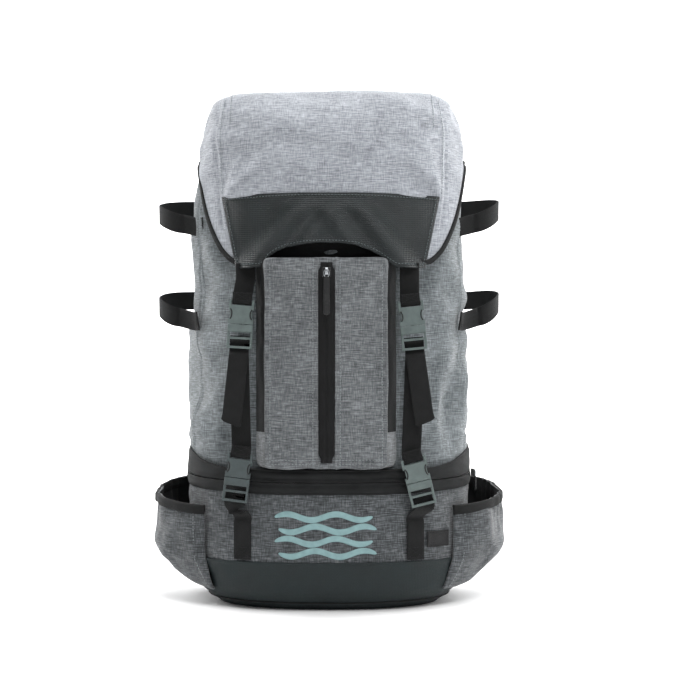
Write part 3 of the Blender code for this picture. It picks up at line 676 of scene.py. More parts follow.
def flat_section(width, thickness, count=9):
    """A strap's section: flat faces and rounded edges."""
    half, r = width / 2, thickness / 2
    across = np.linspace(-(half - r), half - r, count)
    ends = np.linspace(-math.pi / 2, math.pi / 2, 5)[1:-1]
    low = [(x, -r) for x in across]
    right = [(half - r + r * math.cos(a), r * math.sin(a)) for a in ends]
    high = [(x, r) for x in across[::-1]]
    left = [(-(half - r) - r * math.cos(a), -r * math.sin(a)) for a in ends]
    return low + right + high + left


def round_section(radius, sides=8):
    """A round section."""
    turn = np.linspace(0, 2 * math.pi, sides, endpoint=False)
    return [(radius * math.cos(a), radius * math.sin(a)) for a in turn]


def webbing(name, points, across, thickness=WEBBING_THICKNESS):
    """A woven strap along a smooth path through points."""
    path = smooth_path(points, 0.0015)
    across = np.asarray(across, dtype=float)
    if across.ndim == 2:
        rows = np.linspace(0, len(across) - 1, len(path))
        across = np.stack([np.interp(rows, np.arange(len(across)), across[:, k]) for k in range(3)], -1)
    return swept(name, path, across, flat_section(WEBBING_WIDTH, thickness), MATERIALS["webbing"])


def piping(name, points, radius, material, spacing=0.003, closed=False):
    """A thin round cord sewn along a path."""
    path = evenly(np.asarray(points, dtype=float), spacing)
    across = np.cross(np.gradient(path, axis=0), (0.31, 0.17, 0.93))
    return swept(name, path, across, round_section(radius), MATERIALS[material], caps=not closed)


def stitches(name, path, normal, material="thread", pitch=0.0034, length=0.0023, radius=0.00036,
             lift=0.0002):
    """A row of separate stitches laid along a path on a surface."""
    path = evenly(np.asarray(path, dtype=float), pitch)
    if len(path) < 3:
        return None
    tangent = np.gradient(path, axis=0)
    tangent /= np.linalg.norm(tangent, axis=1, keepdims=True)
    normal = np.atleast_2d(np.asarray(normal, dtype=float))
    rows = np.linspace(0, len(normal) - 1, len(path))
    normal = np.stack([np.interp(rows, np.arange(len(normal)), normal[:, k]) for k in range(3)], -1)
    side = np.cross(tangent, normal)
    side /= np.linalg.norm(side, axis=1, keepdims=True)
    up = np.cross(side, tangent)
    sides = 6
    turn = np.linspace(0, 2 * math.pi, sides, endpoint=False)
    stations = np.array([(-0.5, 0.35, -0.6), (-0.35, 0.95, 0.2), (0.0, 1.0, 0.5), (0.35, 0.95, 0.2),
                         (0.5, 0.35, -0.6)])
    points, faces = [], []
    for centre, t, s, n in zip(path, tangent, side, up):
        start = len(points)
        for along, size, rise in stations:
            for a in turn:
                offset = (s * math.cos(a) + n * math.sin(a)) * radius * size
                points.append(centre + t * along * length + offset + n * (lift + rise * radius))
        faces += grid_faces(len(stations), sides, closed=True, start=start)
        faces.append(tuple(start + c for c in range(sides))[::-1])
        faces.append(tuple(start + (len(stations) - 1) * sides + c for c in range(sides)))
    return polygon_object(name, np.array(points), faces, MATERIALS[material])


def attach(piece, body, slot, *nodes):
    """Ride a piece on a body and let it stand for frame nodes. The slot is not used."""
    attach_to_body(piece, body)
    if nodes:
        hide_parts(*nodes)


def surface_path(sizes_at, x, z, out, centre_x=0.0):
    """Points in front of a front wall, for arrays of x and z."""
    x, z = np.broadcast_arrays(np.asarray(x, dtype=float), np.asarray(z, dtype=float))
    return np.stack([x, front_y(sizes_at, x, z, centre_x) - out, z], -1)


def inner_lining(obj, thickness):
    """Give a sheet thickness, with another cloth on its inner side."""
    if len(obj.data.materials) < 2:
        obj.data.materials.append(MATERIALS["lining"])
    solid = obj.modifiers.new("Thickness", "SOLIDIFY")
    solid.thickness = thickness
    solid.offset = -1.0
    solid.material_offset = 1


def settle(obj, groove, thickness):
    """Refine a draped sheet, press its seams in, lay its UVs and give it thickness."""
    refine(obj)
    apply_modifiers(obj)
    mesh = obj.data
    where = coordinates(mesh)
    normals = np.empty(len(mesh.vertices) * 3)
    mesh.vertices.foreach_get("normal", normals)
    where += normals.reshape(-1, 3) * groove(where)[:, None]
    mesh.vertices.foreach_set("co", where.ravel())
    mesh.update()
    box_uv(obj)
    inner_lining(obj, thickness)
    obj.data.shade_smooth()


class Surface:
    """Ray casts onto a finished piece, to lay seams and stitches on it."""

    def __init__(self, obj):
        mesh = obj.data
        verts = [v.co.copy() for v in mesh.vertices]
        self.tree = BVHTree.FromPolygons(verts, [tuple(p.vertices) for p in mesh.polygons])

    def cast(self, origins, direction):
        """Hits and normals from origins along a direction."""
        found, normals = [], []
        direction = Vector(direction).normalized()
        for origin in np.asarray(origins, dtype=float):
            hit, normal, _, _ = self.tree.ray_cast(Vector(origin), direction)
            if hit is None:
                continue
            if normal.dot(direction) > 0:
                normal = -normal
            found.append(tuple(hit))
            normals.append(tuple(normal))
        return np.array(found), np.array(normals)


def front_origins(x, z):
    """Starts of rays in front of the pack, for x and z."""
    x, z = np.broadcast_arrays(x, z)
    return np.stack([x, np.full(x.shape, RAY_START_Y), z], -1)


def seam_stitches(name, surface, origins, direction, material="thread", **settings):
    """Stitches where a line of origins meets a surface."""
    hits, normals = surface.cast(origins, direction)
    if len(hits) < 3:
        return None
    return stitches(name, hits, normals, material, **settings)


# ---------------------------------------------------------------- lid

LID_TOP_START = 0.520
LID_CROWN_START = 0.5452
LID_SEAM_X = 0.1215


def lid_edge(angles):
    """The height of the lid's edge by angle."""
    x, y = nominal_outline(angles)
    front = LID_EDGE_AT(np.abs(x))[:, 0]
    return np.where(y >= 0, LID_BACK_EDGE, np.minimum(front, LID_BACK_EDGE))


def lid_grid(columns=300):
    """The lid's outside, from its edge up over its top."""
    angles = even_angles(columns)
    edge = lid_edge(angles)
    side = np.linspace(0, 1, 46)[:, None]
    heights = edge[None] + (LID_TOP_START - edge[None]) * side
    climb = np.sin(np.linspace(0, math.pi / 2, 18))[1:]
    shoulder = LID_TOP_START + (LID_CROWN_START - LID_TOP_START) * climb
    heights = np.vstack([heights, np.broadcast_to(shoulder[:, None], (len(shoulder), columns))])
    return wall(LID_AT, angles, heights, centre_x=LID_CENTRE_X)


def lid_seam_x(z):
    """How far each of the lid's long seams is from its middle, by height."""
    return np.interp(z, [0.36, 0.43, 0.50, 0.535, 0.556], [0.109, 0.1185, 0.1215, 0.1175, 0.110])


def lid_groove(where):
    """How far the lid's two long seams are pressed in, and its folds raised."""
    x, y, z = where.T
    side = np.abs(x - LID_CENTRE_X)
    taper = lid_seam_x(z)
    front = smooth_step(0.02, -0.02, y)
    groove = -0.0014 * bump_of(side, taper, 0.0014) * (z > 0.395)
    ridge = 0.0009 * bump_of(side, taper - 0.0032, 0.0016) * (z > 0.395)
    folds = np.zeros(len(where))
    # Each fold: side, degrees above level, reach and height.
    wrinkles = (
        (-1, 40, 0.100, 0.0062), (-1, 64, 0.062, 0.0036), (-1, 16, 0.070, 0.0030), (-1, 84, 0.050, -0.0026),
        (1, 52, 0.075, 0.0060), (1, 30, 0.060, -0.0036), (1, 72, 0.090, 0.0046), (1, 12, 0.080, 0.0030),
    )
    for sign, angle, reach, depth in wrinkles:
        dx = 0.114 - sign * (x - LID_CENTRE_X)
        dz = z - 0.427
        turn = math.radians(angle)
        along = dx * math.cos(turn) + dz * math.sin(turn)
        off = -dx * math.sin(turn) + dz * math.cos(turn)
        fade = smooth_step(-0.002, 0.022, along) * smooth_step(reach, reach * 0.40, along)
        width = 0.0030 + 0.075 * np.clip(along, 0, None)
        folds += depth * fade * bump_of(off, 0, width)
    soft = 0.0016 * soft_noise(where, (0.050, 0.05, 0.032), 5)
    crown = smooth_step(0.545, 0.535, z)
    return crown * (groove + ridge) + front * folds + (0.3 + 0.7 * crown) * soft * smooth_step(0.44, 0.47, z)


def make_lid():
    """The lid's shell, binding, coated panel and seams."""
    points = lid_grid()
    rows, columns = points.shape[:2]
    crown, crown_faces = square_crown(points[-1], (rows - 1) * columns, rows * columns)
    whole = np.vstack([points.reshape(-1, 3), crown])
    lid = polygon_object("lid_cloth", whole, grid_faces(rows, columns, closed=True) + crown_faces,
                         MATERIALS["lid"])
    x, y, z = points[..., 0], points[..., 1], points[..., 2]
    pins = np.zeros((rows, columns))
    pins[:2] = 1
    pins[(y < -0.02) & (z < 0.431)] = 1
    pins[bump_of(np.abs(x - LID_CENTRE_X), LID_SEAM_X, 0.0016) > 0.5] = 0.9
    drape(lid, pins, grow=0.018, pressure=2.4, cap=0.0045)
    settle(lid, lid_groove, thickness=0.0012)
    attach(lid, "lid", "lid_cloth", "lid_shell")
    surface = Surface(lid)

    made = []
    for word, sign in (("left", -1), ("right", 1)):
        heights = np.linspace(0.434, 0.535, 90)
        seam = lid_seam_x(heights)
        origins = front_origins(LID_CENTRE_X + sign * (seam - 0.0042), heights)
        made.append(seam_stitches("lid_seam_front_" + word, surface, origins, (0, 1, 0)))
        over = np.linspace(-0.080, 0.078, 110)
        origins = np.stack([np.full(110, LID_CENTRE_X + sign * 0.1065), over, np.full(110, 0.8)], -1)
        made.append(seam_stitches("lid_seam_top_" + word, surface, origins, (0, 0, -1)))
    for piece in made:
        if piece is not None:
            attach(piece, "lid", "lid_cloth")

    angles = np.append(even_angles(420), 2 * math.pi)
    edge = lid_edge(angles)
    ring = wall(LID_AT, angles, edge[None] - 0.0024, out=0.0003, centre_x=LID_CENTRE_X)[0]
    binding = swept("lid_edge_tape", evenly(ring, 0.0022), (0, 0.02, 1.0), flat_section(0.0056, 0.0034),
                    MATERIALS["binding"], caps=False)
    attach(binding, "lid", "webbing", "lid_binding")
    make_panel()


PANEL_EDGE = (
    (-0.097, 0.355), (-0.084, 0.3545), (-0.070, 0.355), (-0.0665, 0.3585), (-0.0615, 0.3655),
    (-0.0545, 0.3705), (-0.0435, 0.3755), (-0.027, 0.3785), (-0.008, 0.380), (0.012, 0.3795),
    (0.028, 0.3775), (0.042, 0.3725), (0.0525, 0.3665), (0.061, 0.3605), (0.069, 0.355),
    (0.083, 0.3545), (0.100, 0.355),
)
PANEL_TOP = 0.430
PANEL_FLARE = 1.16


def panel_points(share_across, share_up):
    """Places on the panel's face, before its depth: x and z from two shares."""
    edge = np.array(PANEL_EDGE)
    run = np.concatenate([[0], np.cumsum(np.hypot(*np.diff(edge, axis=0).T))])
    run /= run[-1]
    edge_x = np.interp(share_across, run, edge[:, 0])
    edge_z = np.interp(share_across, run, edge[:, 1])
    x = edge_x * (1 + (PANEL_FLARE - 1) * share_up)
    top = PANEL_TOP + 0.0015 * (1 - (x / 0.116) ** 2)
    return x, edge_z + (top - edge_z) * share_up


def panel_relief(x, z):
    """The folds that the straps pull into the panel."""
    relief = np.zeros(np.shape(x))
    for sign in (-1, 1):
        start = np.array([sign * 0.016, 0.437])
        end = np.array([sign * 0.083, 0.352])
        way = (end - start) / np.linalg.norm(end - start)
        off = (x - start[0]) * way[1] - (z - start[1]) * way[0]
        off = off * sign
        relief += 0.0066 * bump_of(off, 0, 0.0078)
        relief -= 0.0018 * bump_of(off, -0.021, 0.0080)
        relief += 0.0040 * bump_of(off, 0.029, 0.0065)
    return relief * smooth_step(PANEL_TOP + 0.001, PANEL_TOP - 0.020, z)


def make_panel():
    """The dark coated panel, with a turned hem, its top seam and stitches."""
    across, up = np.meshgrid(np.linspace(0, 1, 190), np.linspace(0, 1, 60))
    x, z = panel_points(across, up)
    hem = 0.0006 * bump_of(up, 0, 0.05)
    tuck = -0.0010 * bump_of(1 - up, 0, 0.03)
    edge = 0.0005 * (bump_of(across, 0, 0.012) + bump_of(1 - across, 0, 0.012))
    out = 0.0030 + panel_relief(x, z) + hem + tuck + edge
    points = surface_path(LID_AT, x, z, 0.0, LID_CENTRE_X)
    points[..., 1] -= out
    panel = grid_object("lid_front_panel", points, MATERIALS["slate"])
    box_uv(panel)
    thicken(panel, 0.0016)
    attach(panel, "lid", "slate_panel", "lid_panel")

    share = np.linspace(0.02, 0.98, 300)
    for word, height in (("lower", 0.052), ("upper", 0.955)):
        x, z = panel_points(share, height)
        x, z = np.broadcast_arrays(x, z)
        path = surface_path(LID_AT, x, z, 0.0, LID_CENTRE_X)
        path[:, 1] -= 0.0031 + panel_relief(x, z)
        seam = stitches("panel_stitches_" + word, path, (0, -1, 0.1), "thread_slate")
        attach(seam, "lid", "slate_panel")
    share = np.linspace(0.03, 0.97, 90)
    for word, place in (("left", 0.014), ("right", 0.986)):
        x, z = panel_points(np.full(90, place), share)
        path = surface_path(LID_AT, x, z, 0.0, LID_CENTRE_X)
        path[:, 1] -= 0.0034 + panel_relief(x, z)
        seam = stitches("panel_stitches_" + word, path, (0, -1, 0.1), "thread_slate")
        attach(seam, "lid", "slate_panel")


# ---------------------------------------------------------------- main body

BODY_SEAM_Y = -0.040
POCKET_X = -0.003
POCKET_Z = (0.147, 0.366)
POCKET_HALF = 0.063
POCKET_ROOT_HALF = 0.075


def rising(z, y):
    """A height that climbs towards the back with the zip."""
    return z + ZIP_RISE * (y + NOMINAL[1])


def body_heights(angles, shares, low, high):
    """Heights between two edges, each a function of y."""
    _, y = nominal_outline(angles)
    return low(y)[None] + (high(y) - low(y))[None] * shares[:, None]


def body_groove(where):
    """The side seams of the main shell and its soft hollows."""
    x, y, z = where.T
    seam = -0.0012 * bump_of(y, BODY_SEAM_Y, 0.0013)
    seam += 0.0007 * bump_of(y, BODY_SEAM_Y - 0.0032, 0.0015)
    away = smooth_step(0.068, 0.095, np.abs(x))
    soft = 0.0027 * soft_noise(where, (0.030, 0.035, 0.070), 21)
    soft += 0.0016 * soft_noise(where, (0.060, 0.060, 0.028), 22)
    creases = 0.0020 * soft_noise(where, (0.05, 0.04, 0.014), 23) * smooth_step(0.22, 0.16, z)
    edge = smooth_step(0.152, 0.195, z)
    return seam + (soft + creases) * away * edge


def make_body():
    """The main shell's cloth and its seams."""
    angles = even_angles(320)
    shares = np.linspace(0, 1, 84)
    heights = body_heights(angles, shares, lambda y: rising(0.1440, y),
                           lambda y: 0.460 + 0.008 * smooth_step(0.0, 0.03, y))
    points = wall(MAIN_AT, angles, heights)
    body = grid_object("body_cloth", points, MATERIALS["body"], closed=True)
    x, y, z = points[..., 0], points[..., 1], points[..., 2]
    pins = np.zeros(x.shape)
    pins[:2] = 1
    pins[-2:] = 1
    pins[(np.abs(x) < 0.078) & (y < 0) & (z < 0.385)] = 1
    pins[(y > 0.05)] = 1
    pins[bump_of(y, BODY_SEAM_Y, 0.0016) > 0.5] = 0.9
    drape(body, pins, grow=0.022, pressure=2.2, cap=0.0045)
    settle(body, body_groove, thickness=0.0020)
    attach(body, "upper_pack", "pack_cloth", "main_shell")
    surface = Surface(body)
    for word, sign in (("left", -1), ("right", 1)):
        heights = np.linspace(0.165, 0.440, 240)
        origins = np.stack([np.full(240, sign * 0.4), np.full(240, BODY_SEAM_Y - 0.004), heights], -1)
        seam = seam_stitches("body_seam_" + word, surface, origins, (-sign, 0, 0))
        attach(seam, "upper_pack", "pack_cloth")
    # Painted shade: a sheet of dark lining cloth on the body front above the pocket, standing in for the
    # shade under the lid's arched edge.
    x, z = np.meshgrid(np.linspace(-0.074, 0.068, 60), np.linspace(0.352, 0.408, 30))
    points = surface_path(MAIN_AT, x, z, 0.0016)
    points[..., 1] -= 0.0012 * soft_noise(points, (0.03, 0.03, 0.012), 27) * (0.408 - z) / 0.05
    painted_shade_patch = grid_object("painted_shade_collar_cloth", points, MATERIALS["lining"])
    box_uv(painted_shade_patch)
    thicken(painted_shade_patch, 0.0010)
    attach(painted_shade_patch, "upper_pack", "pack_cloth")
    make_bay_ceiling()


def make_bay_ceiling():
    """The sheet across the pack above the tackle bay."""
    angles = even_angles(160)
    z = 0.1455
    sizes = MAIN_AT(np.full(160, z)) - 0.0040
    x, y = outline(angles, sizes)
    rows = []
    for share in np.linspace(1, 0.04, 20):
        rows.append(np.stack([x * share, y * share, rising(z, y * share)], -1))
    disc = grid_object("bay_ceiling", np.array(rows), MATERIALS["lining"], closed=True, cap=True)
    box_uv(disc)
    thicken(disc, 0.0018)
    attach(disc, "upper_pack", "pack_cloth")


def squircle(u, v, power):
    """A square grid's place in a rounded square of the same size."""
    radius = np.maximum(np.abs(u), np.abs(v))
    safe = np.maximum(radius, 1e-9)
    a, b = u / safe, v / safe
    size = (np.abs(a) ** power + np.abs(b) ** power) ** (1 / power)
    blend = smooth_step(0.55, 1.0, radius)
    scale = 1 + (1 / size - 1) * blend
    return u * scale, v * scale


def make_front_pocket():
    """The front pocket: a crowned face with seamed edges, side walls and a puckered top."""
    columns, rows = 66, 110
    u, v = np.meshgrid(np.linspace(-1, 1, columns), np.linspace(-1, 1, rows))
    su, sv = squircle(u, v, 22)
    middle, half = sum(POCKET_Z) / 2, (POCKET_Z[1] - POCKET_Z[0]) / 2
    x = POCKET_X + su * (POCKET_HALF - 0.001)
    z = middle + sv * (half - 0.001)
    crown = 0.0070 * (1 - np.abs(u) ** 2.6) * (1 - np.abs(v) ** 5)
    y = -0.1262 - crown
    face = np.stack([x, y, z], -1)
    ring_index = [(0, c) for c in range(columns)]
    ring_index += [(r, columns - 1) for r in range(1, rows)]
    ring_index += [(rows - 1, c) for c in range(columns - 2, -1, -1)]
    ring_index += [(r, 0) for r in range(rows - 2, 0, -1)]
    points = list(face.reshape(-1, 3))
    faces = grid_faces(rows, columns)
    previous = [r * columns + c for r, c in ring_index]
    edge = np.array([face[r, c] for r, c in ring_index])
    outward = edge - np.array([POCKET_X, 0, middle])
    root_x = POCKET_X + outward[:, 0] / POCKET_HALF * (POCKET_ROOT_HALF - 0.001)
    root_z = edge[:, 2]
    root_y = front_y(MAIN_AT, root_x, root_z) - 0.0004
    depth_rows = 12
    pins = [0.0] * len(points)
    for index in previous:
        pins[index] = 0.35
    for step in range(1, depth_rows + 1):
        share = step / depth_rows
        ease = 1 - (1 - share) ** 2.2
        row = np.stack([
            edge[:, 0] + (root_x - edge[:, 0]) * ease,
            edge[:, 1] + (root_y - edge[:, 1]) * share,
            root_z,
        ], -1)
        start = len(points)
        points += list(row)
        pins += [1.0 if step >= depth_rows - 1 else 0.0] * len(row)
        current = list(range(start, start + len(row)))
        count = len(row)
        faces += [(previous[(i + 1) % count], previous[i], current[i], current[(i + 1) % count])
                  for i in range(count)]
        previous = current
    pins = np.array(pins)
    where = np.array(points)
    zip_lane = (np.abs(where[:, 0] + 0.0025) < 0.0125) & (where[:, 1] < -0.1262)
    pins[zip_lane] = 1
    pocket = polygon_object("pocket_cloth", where, faces, MATERIALS["pocket"])
    pocket.data.materials.append(MATERIALS["lining"])
    # Painted shade: the pocket's side walls above z 0.185 get the dark lining cloth, standing in for the
    # deep shade beside the pocket; lower down, where that shade fades, they keep the pocket cloth.
    painted_shade_walls_from = (rows - 1) * (columns - 1) + 2 * len(ring_index)
    for polygon in pocket.data.polygons[painted_shade_walls_from:]:
        polygon.material_index = 1 if polygon.center.z > 0.185 else 0
    drape(pocket, pins, grow=0.030, pressure=3.2, cap=0.0050, bending=0.25)
    settle(pocket, pocket_groove, thickness=0.0018)
    attach(pocket, "upper_pack", "pack_cloth", "front_pocket")
    make_pocket_details(Surface(pocket))


def pocket_groove(where):
    """The pocket's puckered corners and its folded lanes beside the zip."""
    x, y, z = where.T
    front = smooth_step(-0.1235, -0.1275, y)
    lane = np.abs(x + 0.0025)
    lips = 0.0008 * bump_of(lane, 0.0108, 0.0014) - 0.0009 * (lane < 0.0086)
    folds = np.zeros(len(where))
    corners = ((-0.058, 0.358, -1, -1), (0.053, 0.358, 1, -1), (0.050, 0.158, 1, 1), (-0.058, 0.158, -1, 1))
    for index, (cx, cz, sx, sz) in enumerate(corners):
        for angle, reach, depth in ((28, 0.042, 0.0022), (52, 0.050, 0.0026), (74, 0.036, 0.0016)):
            turn = math.radians(angle + 4 * index)
            dx, dz = -(x - cx) * sx, (z - cz) * sz
            along = dx * math.cos(turn) + dz * math.sin(turn)
            off = -dx * math.sin(turn) + dz * math.cos(turn)
            fade = smooth_step(-0.004, 0.006, along) * smooth_step(reach, reach * 0.3, along)
            strength = 1.0 if sz < 0 or index == 2 else 0.4
            folds += strength * depth * fade * np.exp(-0.5 * (off / (0.0016 + 0.08 * np.abs(along))) ** 2)
    soft = 0.0009 * soft_noise(where, (0.022, 0.03, 0.060), 31)
    away = smooth_step(0.0105, 0.020, lane)
    return front * (lips + (folds + soft) * away)


def make_pocket_details(surface):
    """The pocket's zip, seams, piping and stitches."""
    x0 = -0.0025
    lane = np.linspace(0.1545, 0.3595, 120)
    origins = front_origins(x0, lane)
    hits, _ = surface.cast(origins, (0, 1, 0))
    hits[:, 1] -= 0.0012
    path = evenly(hits, 0.002)
    width = np.full(len(path), FRONT_ZIP_WIDTH / 2)
    ends = np.minimum(path[:, 2] - path[0, 2], path[-1, 2] - path[:, 2])
    rounding = np.clip(np.sqrt(np.clip(ends, 0, 0.0085) / 0.0085), 0.72, 1)
    width *= rounding * (0.94 + 0.06 * (path[:, 2] > 0.2))
    rows = []
    for point, half in zip(path, width):
        across = np.linspace(-1, 1, 17)
        rise = 0.0004 - 0.0005 * bump_of(across * half, 0.0, 0.0008) + 0.0005 * bump_of(
            np.abs(across * half), 0.0026, 0.0013)
        rows.append(np.stack([point[0] + across * half, point[1] - rise, np.full(17, point[2])], -1))
    tape = grid_object("front_zip_cloth", np.array(rows), MATERIALS["zip"])
    box_uv(tape)
    thicken(tape, 0.0010)
    attach(tape, "upper_pack", "zip_cloth", "front_zip_tape")
    for word, offset in (("left", -0.0138), ("right", 0.0138)):
        origins = front_origins(x0 + offset, np.linspace(0.152, 0.361, 160))
        seam = seam_stitches("pocket_zip_stitches_" + word, surface, origins, (0, 1, 0))
        attach(seam, "upper_pack", "pack_cloth")
        edge = 0.0095 if offset > 0 else -0.0095
        origins[:, 0] = x0 + edge
        hits, _ = surface.cast(origins, (0, 1, 0))
        hits[:, 1] -= 0.0001
        lip = piping("pocket_zip_lip_" + word, hits, 0.0009, "pocket")
        box_uv(lip)
        attach(lip, "upper_pack", "pack_cloth")
    for word, offset in (("left", -POCKET_HALF + 0.0015), ("right", POCKET_HALF - 0.0015)):
        origins = front_origins(POCKET_X + offset, np.linspace(0.156, 0.357, 150))
        hits, _ = surface.cast(origins, (0, 1, 0))
        cord = piping("pocket_piping_" + word, hits, 0.0012, "pocket")
        box_uv(cord)
        attach(cord, "upper_pack", "pack_cloth")
        origins[:, 0] -= math.copysign(0.0042, offset)
        seam = seam_stitches("pocket_edge_stitches_" + word, surface, origins, (0, 1, 0))
        attach(seam, "upper_pack", "pack_cloth")
    for word, height in (("low", 0.1535), ("high", 0.1575)):
        for side, span in (("left", (-0.058, -0.016)), ("right", (0.011, 0.052))):
            origins = front_origins(np.linspace(*span, 40), height)
            seam = seam_stitches("pocket_hem_{}_{}".format(word, side), surface, origins, (0, 1, 0))
            if seam is not None:
                attach(seam, "upper_pack", "pack_cloth")


# ---------------------------------------------------------------- lower pack

ZIP_LOW = 0.1225
ZIP_MIDDLE = 0.1338
ZIP_TOP = 0.1450
BASE_SEAM = 0.051
FRONT_ZIP_WIDTH = 0.017


def band_rings(name, body, node, low, high, rows):
    """One half of the ribbed zip band round the pack."""
    angles = even_angles(360)
    _, y = nominal_outline(angles)
    shares = np.linspace(0, 1, rows)
    flat = low + (high - low) * shares
    heights = rising(flat[:, None], y[None])
    flare = np.clip((flat - ZIP_MIDDLE) / (ZIP_TOP - ZIP_MIDDLE), 0, 1)[:, None]
    heights = heights + 0.0150 * flare * smooth_step(-0.105, -0.02, y)[None]
    phase = (flat - ZIP_LOW) / (ZIP_TOP - ZIP_LOW)
    ribs = np.abs(np.sin(phase * math.pi * 3)) ** 0.7
    x, _ = nominal_outline(angles)
    front = smooth_step(0.105, 0.075, np.abs(x)) * (y < 0)
    plain = np.sin(np.clip(phase, 0, 1) * math.pi) ** 0.35
    lift = 0.0020 * ribs[:, None] * front[None] + 0.0016 * plain[:, None] * (1 - front[None])
    lift += 0.0012 + 0.0003 * soft_noise(np.stack([np.broadcast_to(x, heights.shape) * 1.0,
                                                   np.broadcast_to(y, heights.shape), heights], -1),
                                         (0.02, 0.02, 0.006), 41)
    sizes = LOWER_AT(heights) + lift[..., None]
    px, py = outline(np.broadcast_to(angles, heights.shape), sizes)
    band = grid_object(name, np.stack([px, py, heights], -1), MATERIALS["band"], closed=True)
    box_uv(band)
    inner_lining(band, 0.0018)
    attach(band, body, "zip_cloth", node)


def make_band():
    """The zip band's two halves, with a coil on each."""
    half = 0.0004
    band_rings("lower_band", "lower_pack", "lower_zip_tape", ZIP_LOW - 0.0008, ZIP_MIDDLE - half, 12)
    band_rings("upper_band", "upper_pack", "upper_zip_tape", ZIP_MIDDLE + half, ZIP_TOP + 0.0012, 12)
    angles = np.append(even_angles(300), 2 * math.pi)
    _, y = nominal_outline(angles)
    for word, offset, body in (("lower", -0.0012, "lower_pack"), ("upper", 0.0012, "upper_pack")):
        heights = rising(ZIP_MIDDLE + offset, y)
        ring = wall(LOWER_AT, angles, heights[None], out=0.0008)[0]
        coil = piping(word + "_band_coil", ring, 0.0009, "coil", closed=True)
        attach(coil, body, "zip_cloth")


def make_lower():
    """The tackle bay's wall, the base below it and their seams."""
    angles = even_angles(320)
    shares = np.linspace(0, 1, 34)
    heights = body_heights(angles, shares, lambda y: np.full(len(y), BASE_SEAM - 0.0005),
                           lambda y: rising(ZIP_LOW + 0.001, y))
    points = wall(LOWER_AT, angles, heights)
    shell = grid_object("bay_cloth", points, MATERIALS["lower"], closed=True)
    x, y, z = points[..., 0], points[..., 1], points[..., 2]
    pins = np.zeros(x.shape)
    pins[:2] = 1
    pins[-2:] = 1
    pins[(np.abs(np.abs(x) - 0.0895) < 0.012) & (y < 0)] = 1
    pins[(np.abs(x) < 0.066) & (y < 0)] = 0.6
    pins[(np.abs(x) > 0.125)] = 1
    drape(shell, pins, grow=0.014, pressure=1.6, cap=0.0016)
    settle(shell, lambda w: 0.0006 * soft_noise(w, (0.03, 0.03, 0.02), 51), thickness=0.0020)
    attach(shell, "lower_pack", "lower_cloth", "lower_shell")
    surface = Surface(shell)
    make_base()
    make_print(surface)


def make_base():
    """The coated base, with piping round its foot and a folded seam at its top."""
    angles = even_angles(320)
    fine = np.concatenate([[0.0, 0.0006, 0.0015, 0.003, 0.005, 0.0075, 0.0105, 0.014],
                           np.linspace(0.018, BASE_SEAM + 0.0008, 22)])
    heights = np.broadcast_to(fine[:, None], (len(fine), 320))
    seam = 0.0007 * bump_of(fine, BASE_SEAM - 0.0012, 0.0012)
    foot = -0.0009 * bump_of(fine, 0.0108, 0.0011)
    points = wall(LOWER_AT, angles, heights, out=(seam + foot + 0.0005)[:, None])
    points += 0.0003 * soft_noise(points, (0.03, 0.03, 0.02), 61)[..., None] * (1, 1, 0)
    floor = []
    for share in np.linspace(0.04, 1, 26)[:-1]:
        row = points[0].copy()
        row[:, :2] *= share
        floor.append(row)
    points = np.concatenate([np.array(floor), points])
    base = grid_object("base_cloth_shell", points[::-1], MATERIALS["base"], closed=True, cap=True)
    box_uv(base)
    inner_lining(base, -0.0022)
    flip_check(base)
    attach(base, "lower_pack", "base_cloth", "base_tray")
    for name, height, out, material in (("base_piping", 0.0082, 0.0004, "binding"),
                                        ("base_top_fold", BASE_SEAM - 0.0002, 0.0009, "base")):
        closed = np.append(angles, angles[0] + 2 * math.pi)
        ring = wall(LOWER_AT, closed, np.full((1, 321), height), out=out)[0]
        cord = piping(name, ring, 0.0010, material, closed=True)
        box_uv(cord)
        attach(cord, "lower_pack", "base_cloth")


def flip_check(obj):
    """Turn a closed sheet's faces outward if its foot looks up."""
    mesh = obj.data
    low = min(mesh.polygons, key=lambda p: p.center.z)
    if low.normal.z > 0:
        mesh.flip_normals()
        for modifier in obj.modifiers:
            if modifier.type == "SOLIDIFY":
                modifier.offset = -1.0
                modifier.thickness = abs(modifier.thickness)


def make_print(surface):
    """Plain ripples printed across the front of the tackle bay."""
    for index, middle in enumerate((0.0985, 0.0860, 0.0735, 0.0610)):
        low, high = -0.056 + 0.004 * (index % 2), 0.045 + 0.004 * (index % 2)
        x = np.linspace(low, high, 120)
        share = (x - low) / (high - low)
        centre = middle + 0.0030 * np.sin(share * 4 * math.pi + index * math.pi)
        half = 0.0030 * np.sqrt(np.clip(1 - (2 * share - 1) ** 8, 0, 1)) + 0.0002
        rows = []
        for side in np.linspace(-1, 1, 5):
            origins = front_origins(x, centre + side * half)
            hits, _ = surface.cast(origins, (0, 1, 0))
            hits[:, 1] -= 0.00035
            rows.append(hits)
        stripe = grid_object("ripple_print_{}".format(index + 1), np.array(rows), MATERIALS["print"])
        box_uv(stripe)
        thicken(stripe, 0.0002)
        attach(stripe, "lower_pack", "lower_cloth")


SIDE_POCKET_ANGLES = (math.radians(-36), math.radians(47))
SIDE_POCKET_RIM = (0.106, 0.129)
SIDE_POCKET_FOOT = 0.018
SIDE_POCKET_BULGE = np.array((
    (0.018, 0.0000), (0.024, 0.0100), (0.034, 0.0200), (0.048, 0.0285), (0.064, 0.0330),
    (0.100, 0.0335), (0.130, 0.0310),
))


